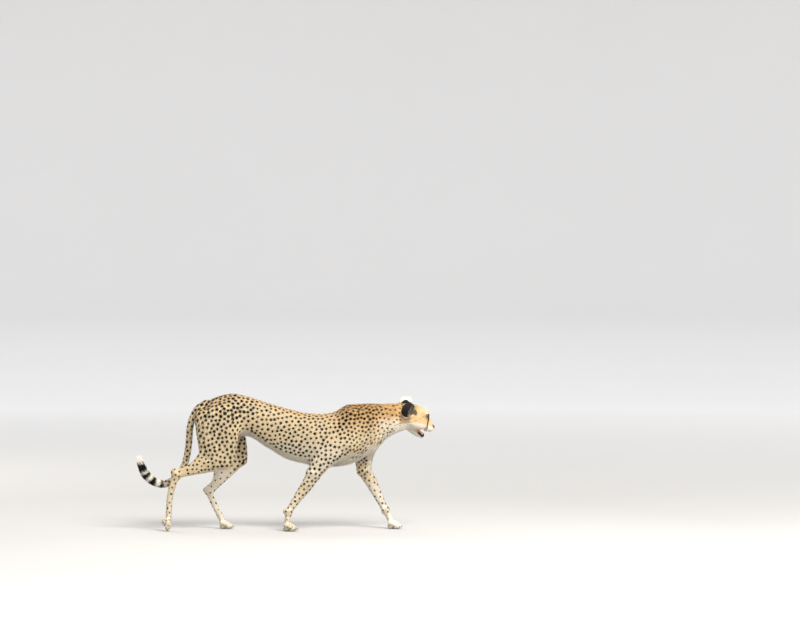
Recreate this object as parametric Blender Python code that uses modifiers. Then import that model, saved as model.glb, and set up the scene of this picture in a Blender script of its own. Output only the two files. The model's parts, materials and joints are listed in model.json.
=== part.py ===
"""A life-size walking cheetah as a museum model, divided into the parts that a person would name.

The whole body is one blended form: bones and muscles are swept ellipses, and each joins its neighbours
with a rounded fillet. The form is meshed, thinned with Decimate and parted with thin Boolean cuts.
Metres, +Z up, +X to the nose, +Y to the animal's left, with the floor at Z = 0 and the origin under the
middle of the animal.
"""

import math

import bmesh
import bpy
import numpy as np
from mathutils import Matrix, Vector

# Driving dimensions. AHEAD moves the finished animal so that the origin is under its middle.
STANCE_HALF_WIDTH = 0.078
AHEAD = 0.00933
HEAD_PITCH, HEAD_YAW, HEAD_ROLL = math.radians(24), math.radians(11), math.radians(8)
NOSE_TIP = Vector((0.796, 0.032, 0.560))
JAW_OPENING = math.radians(17)
EYE_RADIUS, EYE_BACK, EYE_OUT, EYE_UP = 0.0145, 0.074, 0.0325, 0.042
EAR_HALF_HEIGHT, EAR_HALF_WIDTH, EAR_HALF_DEPTH = 0.043, 0.041, 0.035

# Meshing.
VOXEL = 0.004
FLAT = 0.0012
GAP = 0.0004
BODY_TRIANGLES = 4300
CRUMB = 1e-7


# ---------------------------------------------------------------- swept ellipses


def curve_through(rows, steps=4):
    """Rows of numbers joined by a Catmull-Rom curve, with steps spans between each two."""
    rows = np.array(rows, float)
    if len(rows) < 3:
        t = np.linspace(0, 1, len(rows))
        fine = np.linspace(0, 1, (len(rows) - 1) * 2 + 1)
        return np.stack([np.interp(fine, t, c) for c in rows.T], axis=1)
    padded = np.vstack([2 * rows[0] - rows[1], rows, 2 * rows[-1] - rows[-2]])
    made = []
    for a, b, c, d in zip(padded, padded[1:], padded[2:], padded[3:]):
        for t in np.arange(steps) / steps:
            bend = (2 * a - 5 * b + 4 * c - d) * t**2 + (3 * b - a - 3 * c + d) * t**3
            made.append(0.5 * (2 * b + (c - a) * t + bend))
    return np.vstack([made, rows[-1]])


def sweep(stations, side=(0, 1, 0), blend=0.015, cap=1.0):
    """A muscle or bone. Each station is (point, half depth, half width): the width lies along side, and
    the depth across both that and the path. The ends are round, cap times the smaller half size long."""
    rows = curve_through([[*p, deep, wide] for p, deep, wide in stations])
    centres, deep, wide = rows[:, :3], rows[:, 3], rows[:, 4]
    along = np.diff(centres, axis=0)
    length = np.linalg.norm(along, axis=1)
    along = along / length[:, None]
    across = np.array(side, float) - along * (along @ np.array(side, float))[:, None]
    across /= np.linalg.norm(across, axis=1)[:, None]
    reach = max(deep.max(), wide.max()) + 0.02
    return {
        "centres": centres, "length": length, "along": along,
        "across": across, "up": np.cross(along, across),
        "deep": deep, "wide": wide, "cap": cap, "blend": blend,
        "low": centres.min(0) - reach, "high": centres.max(0) + reach,
    }


def ball(centre, radii, side=(0, 1, 0), forward=(1, 0, 0), blend=0.015):
    """An ellipsoid, with radii along forward, along side and across both."""
    long, wide, deep = radii
    centre = Vector(centre)
    step = Vector(forward).normalized() * 0.0005
    return {
        **sweep([(centre - step, deep, wide), (centre + step, deep, wide)], side, blend),
        "cap": long / min(wide, deep),
        "low": np.array(centre) - max(radii) - 0.02,
        "high": np.array(centre) + max(radii) + 0.02,
    }


def sweep_distance(points, piece):
    """About how far each point is outside the piece, in metres."""
    nearest = np.full(len(points), 1e3)
    for i, length in enumerate(piece["length"]):
        offset = points - piece["centres"][i]
        t = np.clip(offset @ piece["along"][i] / length, 0, 1)
        offset -= (t * length)[:, None] * piece["along"][i]
        wide = piece["wide"][i] + t * (piece["wide"][i + 1] - piece["wide"][i])
        deep = piece["deep"][i] + t * (piece["deep"][i + 1] - piece["deep"][i])
        a = offset @ piece["across"][i] / wide
        b = offset @ piece["up"][i] / deep
        long = piece["cap"] * np.minimum(wide, deep)
        c = offset @ piece["along"][i] / long
        scaled = np.sqrt(a * a + b * b + c * c) + 1e-9
        slope = np.sqrt((a / wide) ** 2 + (b / deep) ** 2 + (c / long) ** 2) + 1e-9
        nearest = np.minimum(nearest, scaled * (scaled - 1) / slope)
    return nearest


def loft(stations, cap, blend=0.03):
    """The trunk: upright elliptical sections (x, top, bottom, half width) along X, with ends cap long."""
    rows = curve_through(stations, 8)
    return {
        "x": rows[:, 0], "middle": (rows[:, 1] + rows[:, 2]) / 2, "deep": (rows[:, 1] - rows[:, 2]) / 2,
        "wide": rows[:, 3], "cap": cap, "blend": blend,
        "low": np.array([rows[0, 0] - 0.08, -rows[:, 3].max() - 0.03, rows[:, 2].min() - 0.03]),
        "high": np.array([rows[-1, 0] + 0.08, rows[:, 3].max() + 0.03, rows[:, 1].max() + 0.03]),
    }


def loft_distance(points, piece):
    x = points[:, 0]
    middle, deep, wide = (np.interp(x, piece["x"], piece[k]) for k in ("middle", "deep", "wide"))
    a = points[:, 1] / wide
    b = (points[:, 2] - middle) / deep
    c = (x - np.clip(x, piece["x"][0], piece["x"][-1])) / piece["cap"]
    scaled = np.sqrt(a * a + b * b + c * c) + 1e-9
    slope = np.sqrt((a / wide) ** 2 + (b / deep) ** 2 + (c / piece["cap"]) ** 2) + 1e-9
    return scaled * (scaled - 1) / slope


def joined(a, b, blend):
    """The union of two distances, with a fillet blend wide."""
    h = np.maximum(blend - np.abs(a - b), 0) / blend
    return np.minimum(a, b) - h * h * blend / 4


def piece_distance(points, piece):
    return loft_distance(points, piece) if "x" in piece else sweep_distance(points, piece)


def near(low, high, piece):
    return bool((piece["low"] < high).all() and (piece["high"] > low).all())


def body_distance(points, groups):
    """The blended distance of all groups of pieces at points that lie close together."""
    low, high = points.min(0), points.max(0)
    total = np.full(len(points), 1.0)
    for pieces, blend in groups:
        group = None
        for piece in pieces:
            if not near(low, high, piece):
                continue
            found = piece_distance(points, piece)
            group = found if group is None else joined(group, found, piece["blend"])
        if group is not None:
            total = joined(total, group, blend)
    return np.maximum(total, -points[:, 2])


# ---------------------------------------------------------------- anatomy


def along(a, b, t, ahead=0.0, out=0.0):
    """A point t of the way from a to b, moved ahead across the bone and out along +Y."""
    way = (b - a).normalized()
    return a.lerp(b, t) + Vector((-way.z, 0, way.x)) * ahead + Vector((0, out, 0))


def trunk():
    return [
        loft(
            [
                (-0.455, 0.672, 0.590, 0.036),
                (-0.40, 0.716, 0.548, 0.066),
                (-0.30, 0.741, 0.512, 0.084),
                (-0.20, 0.721, 0.496, 0.080),
                (-0.10, 0.690, 0.435, 0.080),
                (0.00, 0.660, 0.378, 0.089),
                (0.10, 0.637, 0.352, 0.098),
                (0.20, 0.632, 0.338, 0.102),
                (0.30, 0.650, 0.343, 0.096),
                (0.38, 0.665, 0.366, 0.084),
                (0.455, 0.668, 0.415, 0.070),
            ],
            cap=0.05,
        )
    ]


def neck():
    return [
        sweep(
            [
                (Vector((0.36, 0, 0.552)), 0.128, 0.076),
                (Vector((0.46, 0, 0.572)), 0.110, 0.069),
                (Vector((0.545, 0.004, 0.600)), 0.090, 0.061),
                (Vector((0.61, 0.010, 0.612)), 0.078, 0.055),
                (Vector((0.655, 0.014, 0.614)), 0.066, 0.051),
            ]
        )
    ]


HEAD = (
    Matrix.Translation(NOSE_TIP)
    @ Matrix.Rotation(HEAD_YAW, 4, "Z")
    @ Matrix.Rotation(HEAD_PITCH, 4, "Y")
    @ Matrix.Rotation(HEAD_ROLL, 4, "X")
)
JAW_HINGE = Vector((-0.128, 0, -0.030))


def in_head(x, y, z):
    """A place on the head, from its nose tip with the mouth level: x forward, y to its left and z up."""
    return HEAD @ Vector((x, y, z))


def turned(x, y, z):
    """A direction on the head."""
    return (HEAD.to_3x3() @ Vector((x, y, z))).normalized()


def in_jaw(x, y, z):
    """A place on the lower jaw, given as if the mouth were shut."""
    return HEAD @ (JAW_HINGE + Matrix.Rotation(JAW_OPENING, 3, "Y") @ (Vector((x, y, z)) - JAW_HINGE))


def head():
    side, ahead = turned(0, 1, 0), turned(1, 0, 0)
    made = [
        ball(in_head(-0.122, 0, 0.012), (0.070, 0.056, 0.058), side, ahead),
        ball(in_head(-0.092, 0, 0.030), (0.042, 0.041, 0.034), side, ahead, 0.02),
        sweep(
            [
                (in_head(-0.085, 0, -0.010), 0.036, 0.040),
                (in_head(-0.045, 0, -0.014), 0.029, 0.031),
                (in_head(-0.022, 0, -0.018), 0.021, 0.024),
            ],
            side,
            0.02,
        ),
        sweep(
            [
                (in_head(-0.085, 0, 0.040), 0.016, 0.024),
                (in_head(-0.045, 0, 0.018), 0.013, 0.016),
                (in_head(-0.012, 0, -0.004), 0.009, 0.0125),
            ],
            side,
        ),
        ball(in_head(-0.008, 0, -0.008), (0.010, 0.014, 0.010), side, ahead, 0.006),
    ]
    for y in (-1, 1):
        cheek = ball(in_head(-0.100, y * 0.040, -0.016), (0.048, 0.026, 0.034), side, ahead, 0.02)
        pad_way = turned(1, -0.1 * y, 0.05)
        pad = ball(in_head(-0.030, y * 0.016, -0.0215), (0.026, 0.0165, 0.0155), side, pad_way, 0.01)
        brow_way = turned(1, -0.3 * y, 0)
        brow = ball(in_head(-0.084, y * 0.031, 0.044), (0.024, 0.018, 0.015), side, brow_way)
        made += [cheek, pad, brow]
    return made


def lower_jaw():
    stations = [
        (in_jaw(-0.135, 0, -0.051), 0.030, 0.036),
        (in_jaw(-0.085, 0, -0.055), 0.0205, 0.028),
        (in_jaw(-0.052, 0, -0.050), 0.0185, 0.021),
        (in_jaw(-0.036, 0, -0.046), 0.016, 0.0165),
    ]
    return [sweep(stations, turned(0, 1, 0))]


# For each ear on the head: its base, the way up to its tip and the way that its hollow faces.
EARS = {
    -1: ((-0.179, -0.047, 0.007), (-0.10, -0.42, 0.90), (0.84, -0.54, 0.0)),
    1: ((-0.176, 0.043, 0.018), (-0.46, 0.38, 0.80), (0.94, 0.33, 0.0)),
}


def ear_axes(y):
    """An ear's base and its two ways, made square to each other. The left ear is held further back."""
    base, tip, facing = EARS[y]
    tip = turned(*tip)
    facing = turned(*facing)
    return in_head(*base), tip, (facing - tip * facing.dot(tip)).normalized()


def ear(y):
    base, tip, facing = ear_axes(y)
    radii = (EAR_HALF_HEIGHT, EAR_HALF_WIDTH, EAR_HALF_DEPTH)
    return [ball(base + tip * 0.026, radii, tip.cross(facing), tip)]


def fore_leg(top, shoulder, elbow, wrist, knuckle):
    """The bones' ends from the shoulder blade down to the knuckles."""
    blade = [(top, 0.040, 0.016), (along(top, shoulder, 0.5), 0.066, 0.026), (shoulder, 0.052, 0.034)]
    upper_arm = [
        (shoulder, 0.050, 0.036),
        (along(shoulder, elbow, 0.5, -0.016), 0.050, 0.036),
        (elbow, 0.038, 0.029),
    ]
    triceps = [
        (along(top, shoulder, 0.62, -0.062), 0.040, 0.022),
        (along(shoulder, elbow, 0.55, -0.042), 0.034, 0.026),
        (along(shoulder, elbow, 1.02, -0.024), 0.017, 0.015),
    ]
    forearm = [
        (elbow, 0.039, 0.029),
        (along(elbow, wrist, 0.30, 0.003), 0.034, 0.026),
        (along(elbow, wrist, 0.65), 0.025, 0.021),
        (wrist, 0.019, 0.020),
    ]
    return [
        sweep(blade, blend=0.03),
        sweep(upper_arm, blend=0.02),
        sweep(triceps, blend=0.025),
        sweep(forearm),
        ball(wrist, (0.019, 0.021, 0.019)),
        ball(along(elbow, wrist, 1.04, -0.018), (0.009, 0.009, 0.008), blend=0.012),
        sweep([(wrist, 0.017, 0.0195), (knuckle, 0.0160, 0.025)]),
    ] + paw(knuckle, 0.0, 0.0165, 1.0)


def hind_leg(hip, knee, hock, knuckle, calf, pitch, bow):
    """The bones' ends from the hip down to the knuckles. Calf is where the ham muscles end on the shank."""
    side = math.copysign(1, hip.y)
    seat = hip + Vector((-0.078, -0.016 * side, 0.002))
    instep = hock.lerp(knuckle, 0.45) + Vector((bow, 0, 0))
    front_of_thigh = [
        (along(hip, knee, -0.12, 0.045), 0.058, 0.034),
        (along(hip, knee, 0.45, 0.038), 0.056, 0.040),
        (along(hip, knee, 0.88, 0.012), 0.044, 0.034),
        (along(hip, knee, 1.03), 0.032, 0.029),
    ]
    back_of_thigh = [
        (seat, 0.050, 0.034),
        (along(hip, knee, 0.45, -0.056), 0.056, 0.036),
        (along(hip, knee, 0.88, -0.050), 0.042, 0.032),
        (along(knee, hock, 0.30, -0.018), 0.026, 0.024),
    ]
    ham = [
        (seat, 0.036, 0.030),
        (seat.lerp(calf, 0.5), 0.038, 0.027),
        (calf, 0.034, 0.022),
        (along(knee, hock, 0.72, -0.018), 0.013, 0.012),
    ]
    heel_cord = [
        (along(knee, hock, 0.05, -0.020), 0.032, 0.026),
        (along(knee, hock, 0.40, -0.020), 0.025, 0.021),
        (along(knee, hock, 0.75, -0.021), 0.0125, 0.0115),
        (along(knee, hock, 1.0, -0.023), 0.0115, 0.0115),
    ]
    shank = [
        (knee, 0.034, 0.030),
        (along(knee, hock, 0.40), 0.029, 0.022),
        (along(knee, hock, 0.80), 0.021, 0.017),
        (hock, 0.0200, 0.0185),
    ]
    return [
        sweep(front_of_thigh, blend=0.03),
        sweep(back_of_thigh, blend=0.03),
        sweep(ham, blend=0.03),
        ball(along(hip, knee, 0.15), (0.09, 0.042, 0.10), blend=0.03),
        sweep(heel_cord, blend=0.02),
        sweep(shank),
        ball(along(knee, hock, 1.02, -0.021), (0.013, 0.0125, 0.013), blend=0.02),
        sweep([(hock, 0.0205, 0.019), (instep, 0.0180, 0.0175), (knuckle, 0.0165, 0.0235)]),
    ] + paw(knuckle, pitch, 0.0150, 0.95)


def paw(centre, pitch, spread, size):
    """Four toes and the pads, from the knuckle joint. Pitch turns the toes down from level."""
    frame = Matrix.Translation(centre) @ Matrix.Rotation(pitch, 4, "Y")

    def at(x, y, z):
        return frame @ Vector((x * size, y, z * size))

    floor = -centre.z / size if pitch < 0.5 else -0.036
    ahead = at(1, 0, 0) - at(0, 0, 0)
    made = [ball(at(0.000, 0, floor + 0.014), (0.021, 0.022, 0.0155), forward=ahead, blend=0.01)]
    for place in (-1.5, -0.5, 0.5, 1.5):
        y = place * spread
        back = 0.012 if abs(place) > 1 else 0.0
        toe = [
            (at(0.004 - back, y * 0.85, floor + 0.034), 0.0135, 0.0110),
            (at(0.026 - back, y, floor + 0.028), 0.0135, 0.0110),
            (at(0.046 - back, y, floor + 0.014), 0.0105, 0.0098),
        ]
        claw = [
            (at(0.046 - back, y, floor + 0.018), 0.0050, 0.0040),
            (at(0.060 - back, y, floor + 0.010), 0.0034, 0.0030),
        ]
        made += [sweep(toe, blend=0.006), sweep(claw, blend=0.003)]
    return made


# Places on the tail's middle line, with its half thickness at each.
TAIL_PATH = [
    (-0.435, 0.000, 0.678, 0.030), (-0.478, 0.000, 0.655, 0.026), (-0.512, 0.000, 0.606, 0.0225),
    (-0.527, 0.000, 0.545, 0.0215), (-0.532, 0.001, 0.480, 0.0210), (-0.540, 0.002, 0.415, 0.0205),
    (-0.560, 0.003, 0.345, 0.0205), (-0.604, 0.004, 0.280, 0.0215), (-0.664, 0.004, 0.250, 0.0235),
    (-0.722, 0.003, 0.263, 0.0255), (-0.765, 0.002, 0.300, 0.0275), (-0.787, 0.001, 0.343, 0.0265),
    (-0.797, 0.000, 0.376, 0.020),
]


def tail():
    return [sweep([(Vector((x, y, z)), r, r) for x, y, z, r in TAIL_PATH])]


RIGHT, LEFT = -STANCE_HALF_WIDTH, STANCE_HALF_WIDTH
KNEE_OUT = 0.004
# Top of the blade, shoulder, elbow, wrist and knuckle.
FORE_LEGS = [
    (
        (0.345, -0.052, 0.640),
        (0.322, -0.074, 0.470),
        (0.144, RIGHT, 0.308),
        (0.008, RIGHT, 0.106),
        (0.000, RIGHT, 0.036),
    ),
    (
        (0.375, 0.052, 0.640),
        (0.458, 0.072, 0.485),
        (0.418, LEFT, 0.315),
        (0.530, LEFT, 0.106),
        (0.562, LEFT, 0.036),
    ),
]
# Hip, knee, hock, knuckle, end of the ham on the shank, pitch of the toes and bow of the instep.
HIND_LEGS = [
    (
        (-0.375, -0.068, 0.615),
        (-0.329, RIGHT - KNEE_OUT, 0.370),
        (-0.600, RIGHT, 0.303),
        (-0.640, RIGHT, 0.0565),
        (-0.445, RIGHT, 0.415),
        math.radians(68),
        -0.012,
    ),
    (
        (-0.375, 0.068, 0.615),
        (-0.256, LEFT + KNEE_OUT, 0.378),
        (-0.425, LEFT, 0.200),
        (-0.350, LEFT, 0.036),
        (-0.375, LEFT, 0.385),
        0.0,
        -0.004,
    ),
]


def body():
    """Groups of pieces, each with the width of its fillet to the groups before it."""
    made = [(trunk(), 0.01), (neck(), 0.06), (head(), 0.03), (lower_jaw(), 0.012)]
    made += [(ear(-1), 0.012), (ear(1), 0.012)]
    for places in FORE_LEGS:
        made.append((fore_leg(*(Vector(p) for p in places)), 0.035))
    for *places, pitch, bow in HIND_LEGS:
        made.append((hind_leg(*(Vector(p) for p in places), pitch, bow), 0.035))
    made.append((tail(), 0.015))
    return made


# ---------------------------------------------------------------- meshing


def by_brick(points, groups, size=0.10):
    """body_distance for points anywhere, worked out brick by brick."""
    found = np.empty(len(points))
    _, number = np.unique(np.floor(points / size).astype(int), axis=0, return_inverse=True)
    number = number.reshape(-1)
    order = np.argsort(number, kind="stable")
    for chunk in np.split(order, np.flatnonzero(np.diff(number[order])) + 1):
        found[chunk] = body_distance(points[chunk], groups)
    return found


def pulled(points, groups, rounds=3, step=0.0005):
    """The points moved onto the blended surface."""
    for _ in range(rounds):
        here = by_brick(points, groups)
        slope = np.stack([(by_brick(points + step * axis, groups) - here) / step for axis in np.eye(3)], 1)
        size = np.maximum((slope**2).sum(1), 0.2)
        points = points - slope * np.clip(here / size, -0.012, 0.012)[:, None]
    return points


def beads(piece):
    """Closely spaced (centre, along, across, up, radii) on the piece's path."""
    if "x" in piece:
        for x, middle, deep, wide in zip(piece["x"], piece["middle"], piece["deep"], piece["wide"]):
            yield (x, 0, middle), (1, 0, 0), (0, 1, 0), (0, 0, 1), (0.03, wide, deep)
        return
    for i, length in enumerate(piece["length"]):
        count = max(1, math.ceil(length / (0.5 * min(piece["wide"][i], piece["deep"][i]))))
        for t in np.linspace(0, 1, count + 1):
            wide = piece["wide"][i] + t * (piece["wide"][i + 1] - piece["wide"][i])
            deep = piece["deep"][i] + t * (piece["deep"][i + 1] - piece["deep"][i])
            centre = piece["centres"][i] + t * length * piece["along"][i]
            radii = (piece["cap"] * min(wide, deep), wide, deep)
            yield centre, piece["along"][i], piece["across"][i], piece["up"][i], radii


def rough_form(groups):
    """Overlapping balls along every muscle and bone, as one mesh."""
    form = bmesh.new()
    bmesh.ops.create_uvsphere(form, u_segments=12, v_segments=8, radius=1)
    unit = np.array([v.co for v in form.verts])
    faces = [[v.index for v in f.verts] for f in form.faces]
    form.free()
    places = []
    for piece in (piece for pieces, _ in groups for piece in pieces):
        for centre, *axes, radii in beads(piece):
            places.append(np.array(centre) + (unit * radii) @ np.array(axes))
    mesh = bpy.data.meshes.new("body")
    all_faces = [[i + n * len(unit) for i in face] for n in range(len(places)) for face in faces]
    mesh.from_pydata(np.vstack(places).tolist(), [], all_faces)
    obj = bpy.data.objects.new("body", mesh)
    bpy.context.scene.collection.objects.link(obj)
    return obj


def applied(obj, kind, **settings):
    """The object's mesh after one modifier."""
    modifier = obj.modifiers.new(kind.lower(), kind)
    for name, value in settings.items():
        setattr(modifier, name, value)
    ready = obj.evaluated_get(bpy.context.evaluated_depsgraph_get())
    mesh = bpy.data.meshes.new_from_object(ready)
    obj.modifiers.clear()
    old, obj.data = obj.data, mesh
    bpy.data.meshes.remove(old)
    return obj


def corners(obj):
    found = np.empty(len(obj.data.vertices) * 3)
    obj.data.vertices.foreach_get("co", found)
    return found.reshape(-1, 3)


def place_corners(obj, points):
    obj.data.vertices.foreach_set("co", np.ascontiguousarray(points).ravel())
    obj.data.update()


def evened(obj, points, rounds=2):
    """The points moved halfway to the mean of their neighbours."""
    edges = np.empty(len(obj.data.edges) * 2, int)
    obj.data.edges.foreach_get("vertices", edges)
    a, b = edges.reshape(-1, 2).T
    count = np.bincount(a, minlength=len(points)) + np.bincount(b, minlength=len(points))
    for _ in range(rounds):
        total = np.zeros_like(points)
        np.add.at(total, a, points[b])
        np.add.at(total, b, points[a])
        points = (points + total / count[:, None]) / 2
    return points


def blended_body(groups):
    """The whole animal as one closed mesh on the blended surface."""
    obj = rough_form(groups)
    for _ in range(2):
        applied(obj, "REMESH", mode="VOXEL", voxel_size=VOXEL)
        place_corners(obj, pulled(corners(obj), groups, 2))
    points = pulled(evened(obj, corners(obj)), groups, 2)
    points[points[:, 2] < FLAT, 2] = 0
    place_corners(obj, points)
    return obj


# ---------------------------------------------------------------- parting


def new_object(name, form, collection):
    mesh = bpy.data.meshes.new(name)
    form.to_mesh(mesh)
    form.free()
    obj = bpy.data.objects.new(name, mesh)
    collection.objects.link(obj)
    return obj


def turn_to(normal):
    return Vector(normal).to_track_quat("Z", "Y").to_matrix().to_4x4()


def disc(centre, normal, radius):
    """A thin round cutter across a limb."""
    form = bmesh.new()
    place = Matrix.Translation(centre) @ turn_to(normal)
    size = {"radius1": radius, "radius2": radius, "depth": GAP}
    bmesh.ops.create_cone(form, cap_ends=True, segments=16, matrix=place, **size)
    return form


def drum(centre, lean, radii, inner, outer, grow=0.0):
    """An oval drum across the animal, from inner to outer along Y. Lean tips its top forward."""
    form = bmesh.new()
    middle, depth = (inner + outer) / 2, abs(outer - inner) + 2 * grow
    place = (
        Matrix.Translation((centre[0], middle, centre[1])) @ Matrix.Rotation(lean, 4, "Y")
        @ Matrix.Diagonal((radii[0] + grow, 1, radii[1] + grow, 1)) @ Matrix.Rotation(math.pi / 2, 4, "X")
    )
    bmesh.ops.create_cone(form, cap_ends=True, segments=32, radius1=1, radius2=1, depth=depth, matrix=place)
    return form


def oval(centre, axes, radii, grow=0.0):
    """An ellipsoid along three axes."""
    form = bmesh.new()
    turn = Matrix(axes).transposed().to_4x4()
    place = Matrix.Translation(centre) @ turn @ Matrix.Diagonal((*(r + grow for r in radii), 1))
    bmesh.ops.create_uvsphere(form, u_segments=16, v_segments=10, radius=1, matrix=place)
    return form


def cut(obj, form, how, cutters):
    """Boolean by a cutter that stays in its own hidden collection."""
    cutter = new_object("cutter", form, cutters)
    cutter.hide_render = True
    cutter.display_type = "WIRE"
    applied(obj, "BOOLEAN", operation=how, solver="EXACT", object=cutter)


def copied(obj):
    twin = obj.copy()
    twin.data = obj.data.copy()
    bpy.context.scene.collection.objects.link(twin)
    return twin


def parted(obj, shape, cutters):
    """What lies inside the shape as a new object. The shape's room and a gap leave the old one."""
    piece = copied(obj)
    cut(piece, shape(0.0), "INTERSECT", cutters)
    cut(obj, shape(GAP), "DIFFERENCE", cutters)
    return piece


def islands(obj):
    """Each loose closed body of the mesh, as its own BMesh."""
    whole = bmesh.new()
    whole.from_mesh(obj.data)
    bmesh.ops.triangulate(whole, faces=whole.faces)
    left, found = set(whole.verts), []
    while left:
        grown = {left.pop()}
        front = list(grown)
        while front:
            here = front.pop()
            for edge in here.link_edges:
                other = edge.other_vert(here)
                if other not in grown:
                    grown.add(other)
                    front.append(other)
        left -= grown
        piece = bmesh.new()
        twin = {v: piece.verts.new(v.co) for v in grown}
        for face in {f for v in grown for f in v.link_faces}:
            piece.faces.new([twin[v] for v in face.verts])
        found.append(piece)
    whole.free()
    return found


def middle_of(form):
    points = np.array([v.co for v in form.verts])
    return (points.min(0) + points.max(0)) / 2


LEG_DRUMS = {
    "fore_right": ((0.175, 0.290), math.radians(28), (0.165, 0.415), -0.040),
    "fore_left": ((0.460, 0.300), math.radians(-14), (0.165, 0.420), 0.040),
    "hind_right": ((-0.470, 0.300), math.radians(20), (0.220, 0.420), -0.034),
    "hind_left": ((-0.360, 0.300), 0.0, (0.210, 0.420), 0.034),
}
LIMB_CUTS = {
    "fore_right": [((0.128, 0.285), (0.56, 0.83), 0.075), ((0.006, 0.094), (0.1, 1), 0.035)],
    "fore_left": [((0.424, 0.300), (-0.40, 0.92), 0.075), ((0.533, 0.094), (-0.4, 0.9), 0.035)],
    "hind_right": [((-0.385, 0.378), (0.46, 0.89), 0.130), ((-0.614, 0.266), (0.55, 0.85), 0.036)],
    "hind_left": [((-0.310, 0.358), (0.35, 0.94), 0.130), ((-0.412, 0.172), (0.05, 1), 0.040)],
}
NECK_CUTS = [
    ((0.420, 0, 0.550), (0.97, 0, 0.25), 0.20),
    ((0.628, 0.010, 0.610), (0.94, 0.05, -0.33), 0.12),
]
TAIL_CUTS = [(2.6, 0.031), (6.0, 0.032), (9.0, 0.034)]


def legs(body, cutters):
    """The four legs, each parted from the trunk and then across its joints."""
    for name, (centre, lean, radii, inner) in LEG_DRUMS.items():
        outer = math.copysign(0.2, inner)
        leg = parted(body, lambda grow: drum(centre, lean, radii, inner, outer, grow), cutters)
        y = math.copysign(STANCE_HALF_WIDTH, inner)
        for (x, z), (nx, nz), radius in LIMB_CUTS[name]:
            cut(leg, disc((x, y, z), (nx, 0, nz), radius), "DIFFERENCE", cutters)
        yield name, leg


def ears(body, cutters):
    """Each ear parted from the head along a rounded dish, and then hollowed."""
    for name, y in (("ear_right", -1), ("ear_left", 1)):
        base, tip, facing = ear_axes(y)
        axes = (tip, facing, tip.cross(facing))
        room = (EAR_HALF_HEIGHT, EAR_HALF_DEPTH + 0.012, EAR_HALF_WIDTH + 0.010)
        ear = parted(body, lambda grow: oval(base + tip * 0.043, axes, room, grow), cutters)
        hollow = oval(base + tip * 0.036 + facing * 0.033, axes, (0.0335, 0.0285, 0.0335))
        cut(ear, hollow, "DIFFERENCE", cutters)
        yield name, ear


def jaw_room(grow):
    """The room of the lower jaw in front of the mouth's corner."""
    form = bmesh.new()
    hinge = Matrix.Translation(JAW_HINGE)
    place = (
        HEAD @ hinge @ Matrix.Rotation(JAW_OPENING / 4, 4, "Y") @ hinge.inverted()
        @ Matrix.Translation((-0.030, 0, -0.084))
        @ Matrix.Diagonal((0.110 + 2 * grow, 0.12 + 2 * grow, 0.082 + 2 * grow, 1))
    )
    bmesh.ops.create_cube(form, size=1, matrix=place)
    return form


def tail_cut(at, radius):
    path = curve_through(TAIL_PATH, 20)
    i = round(at * 20)
    return disc(path[i, :3], path[i + 1, :3] - path[i - 1, :3], radius)


def eyes(body, cutters):
    for name, y in (("eye_right", -1), ("eye_left", 1)):
        centre = in_head(-EYE_BACK, y * EYE_OUT, EYE_UP)
        axes = (turned(1, 0, 0), turned(0, 1, 0), turned(0, 0, 1))
        cut(body, oval(centre, axes, [EYE_RADIUS] * 3, GAP), "DIFFERENCE", cutters)
        yield name, oval(centre, axes, [EYE_RADIUS] * 3)


MATERIALS = {
    "coat": ((0.62, 0.42, 0.20), 0.9),
    "eye": ((0.30, 0.16, 0.04), 0.05),
}
# The pieces that the cuts leave of each limb from the top down, and of the body from the nose back.
LIMB_NAMES = {"fore": ("upper_arm", "forearm", "fore_foot"), "hind": ("thigh", "shank", "hind_foot")}
BODY_NAMES = ("head", "neck", "trunk", "tail_upper", "tail_middle", "tail_tip")


def material(name):
    if name not in bpy.data.materials:
        made = bpy.data.materials.new(name)
        made.use_nodes = True
        shader = made.node_tree.nodes["Principled BSDF"]
        colour, roughness = MATERIALS[name]
        shader.inputs["Base Color"].default_value = (*colour, 1)
        shader.inputs["Roughness"].default_value = roughness
    return bpy.data.materials[name]


def finished(name, form, collection, slot="coat"):
    obj = new_object(name, form, collection)
    obj.data.materials.append(material(slot))
    obj.data.shade_smooth()
    return obj


def name_islands(obj, names, axis, collection):
    """One finished object for each closed body of obj, named from the top or front down the axis."""
    forms = [form for form in islands(obj) if form.calc_volume() > CRUMB]
    forms.sort(key=lambda form: -middle_of(form)[axis])
    for name, form in zip(names, forms, strict=True):
        finished(name, form, collection)
    bpy.data.objects.remove(obj)


def main():
    for obj in list(bpy.data.objects):
        bpy.data.objects.remove(obj)
    cheetah = bpy.data.collections.new("cheetah")
    cutters = bpy.data.collections.new("cutters")
    bpy.context.scene.collection.children.link(cheetah)
    bpy.context.scene.collection.children.link(cutters)

    body_form = blended_body(body())
    applied(body_form, "TRIANGULATE")
    applied(body_form, "DECIMATE", ratio=BODY_TRIANGLES / len(body_form.data.polygons))
    points = corners(body_form)
    points[points[:, 2] < FLAT, 2] = 0
    place_corners(body_form, points)

    for name, form in eyes(body_form, cutters):
        finished(name, form, cheetah, "eye")
    for name, ear_form in ears(body_form, cutters):
        name_islands(ear_form, [name], 0, cheetah)
    for name, leg in legs(body_form, cutters):
        end, side = name.split("_")
        name_islands(leg, [f"{part}_{side}" for part in LIMB_NAMES[end]], 2, cheetah)
    name_islands(parted(body_form, jaw_room, cutters), ["lower_jaw"], 0, cheetah)
    for centre, normal, radius in NECK_CUTS:
        cut(body_form, disc(centre, normal, radius), "DIFFERENCE", cutters)
    for at, radius in TAIL_CUTS:
        cut(body_form, tail_cut(at, radius), "DIFFERENCE", cutters)
    name_islands(body_form, BODY_NAMES, 0, cheetah)
    for obj in cheetah.objects:
        obj.data.transform(Matrix.Translation((AHEAD, 0, 0)))


main()
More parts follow.
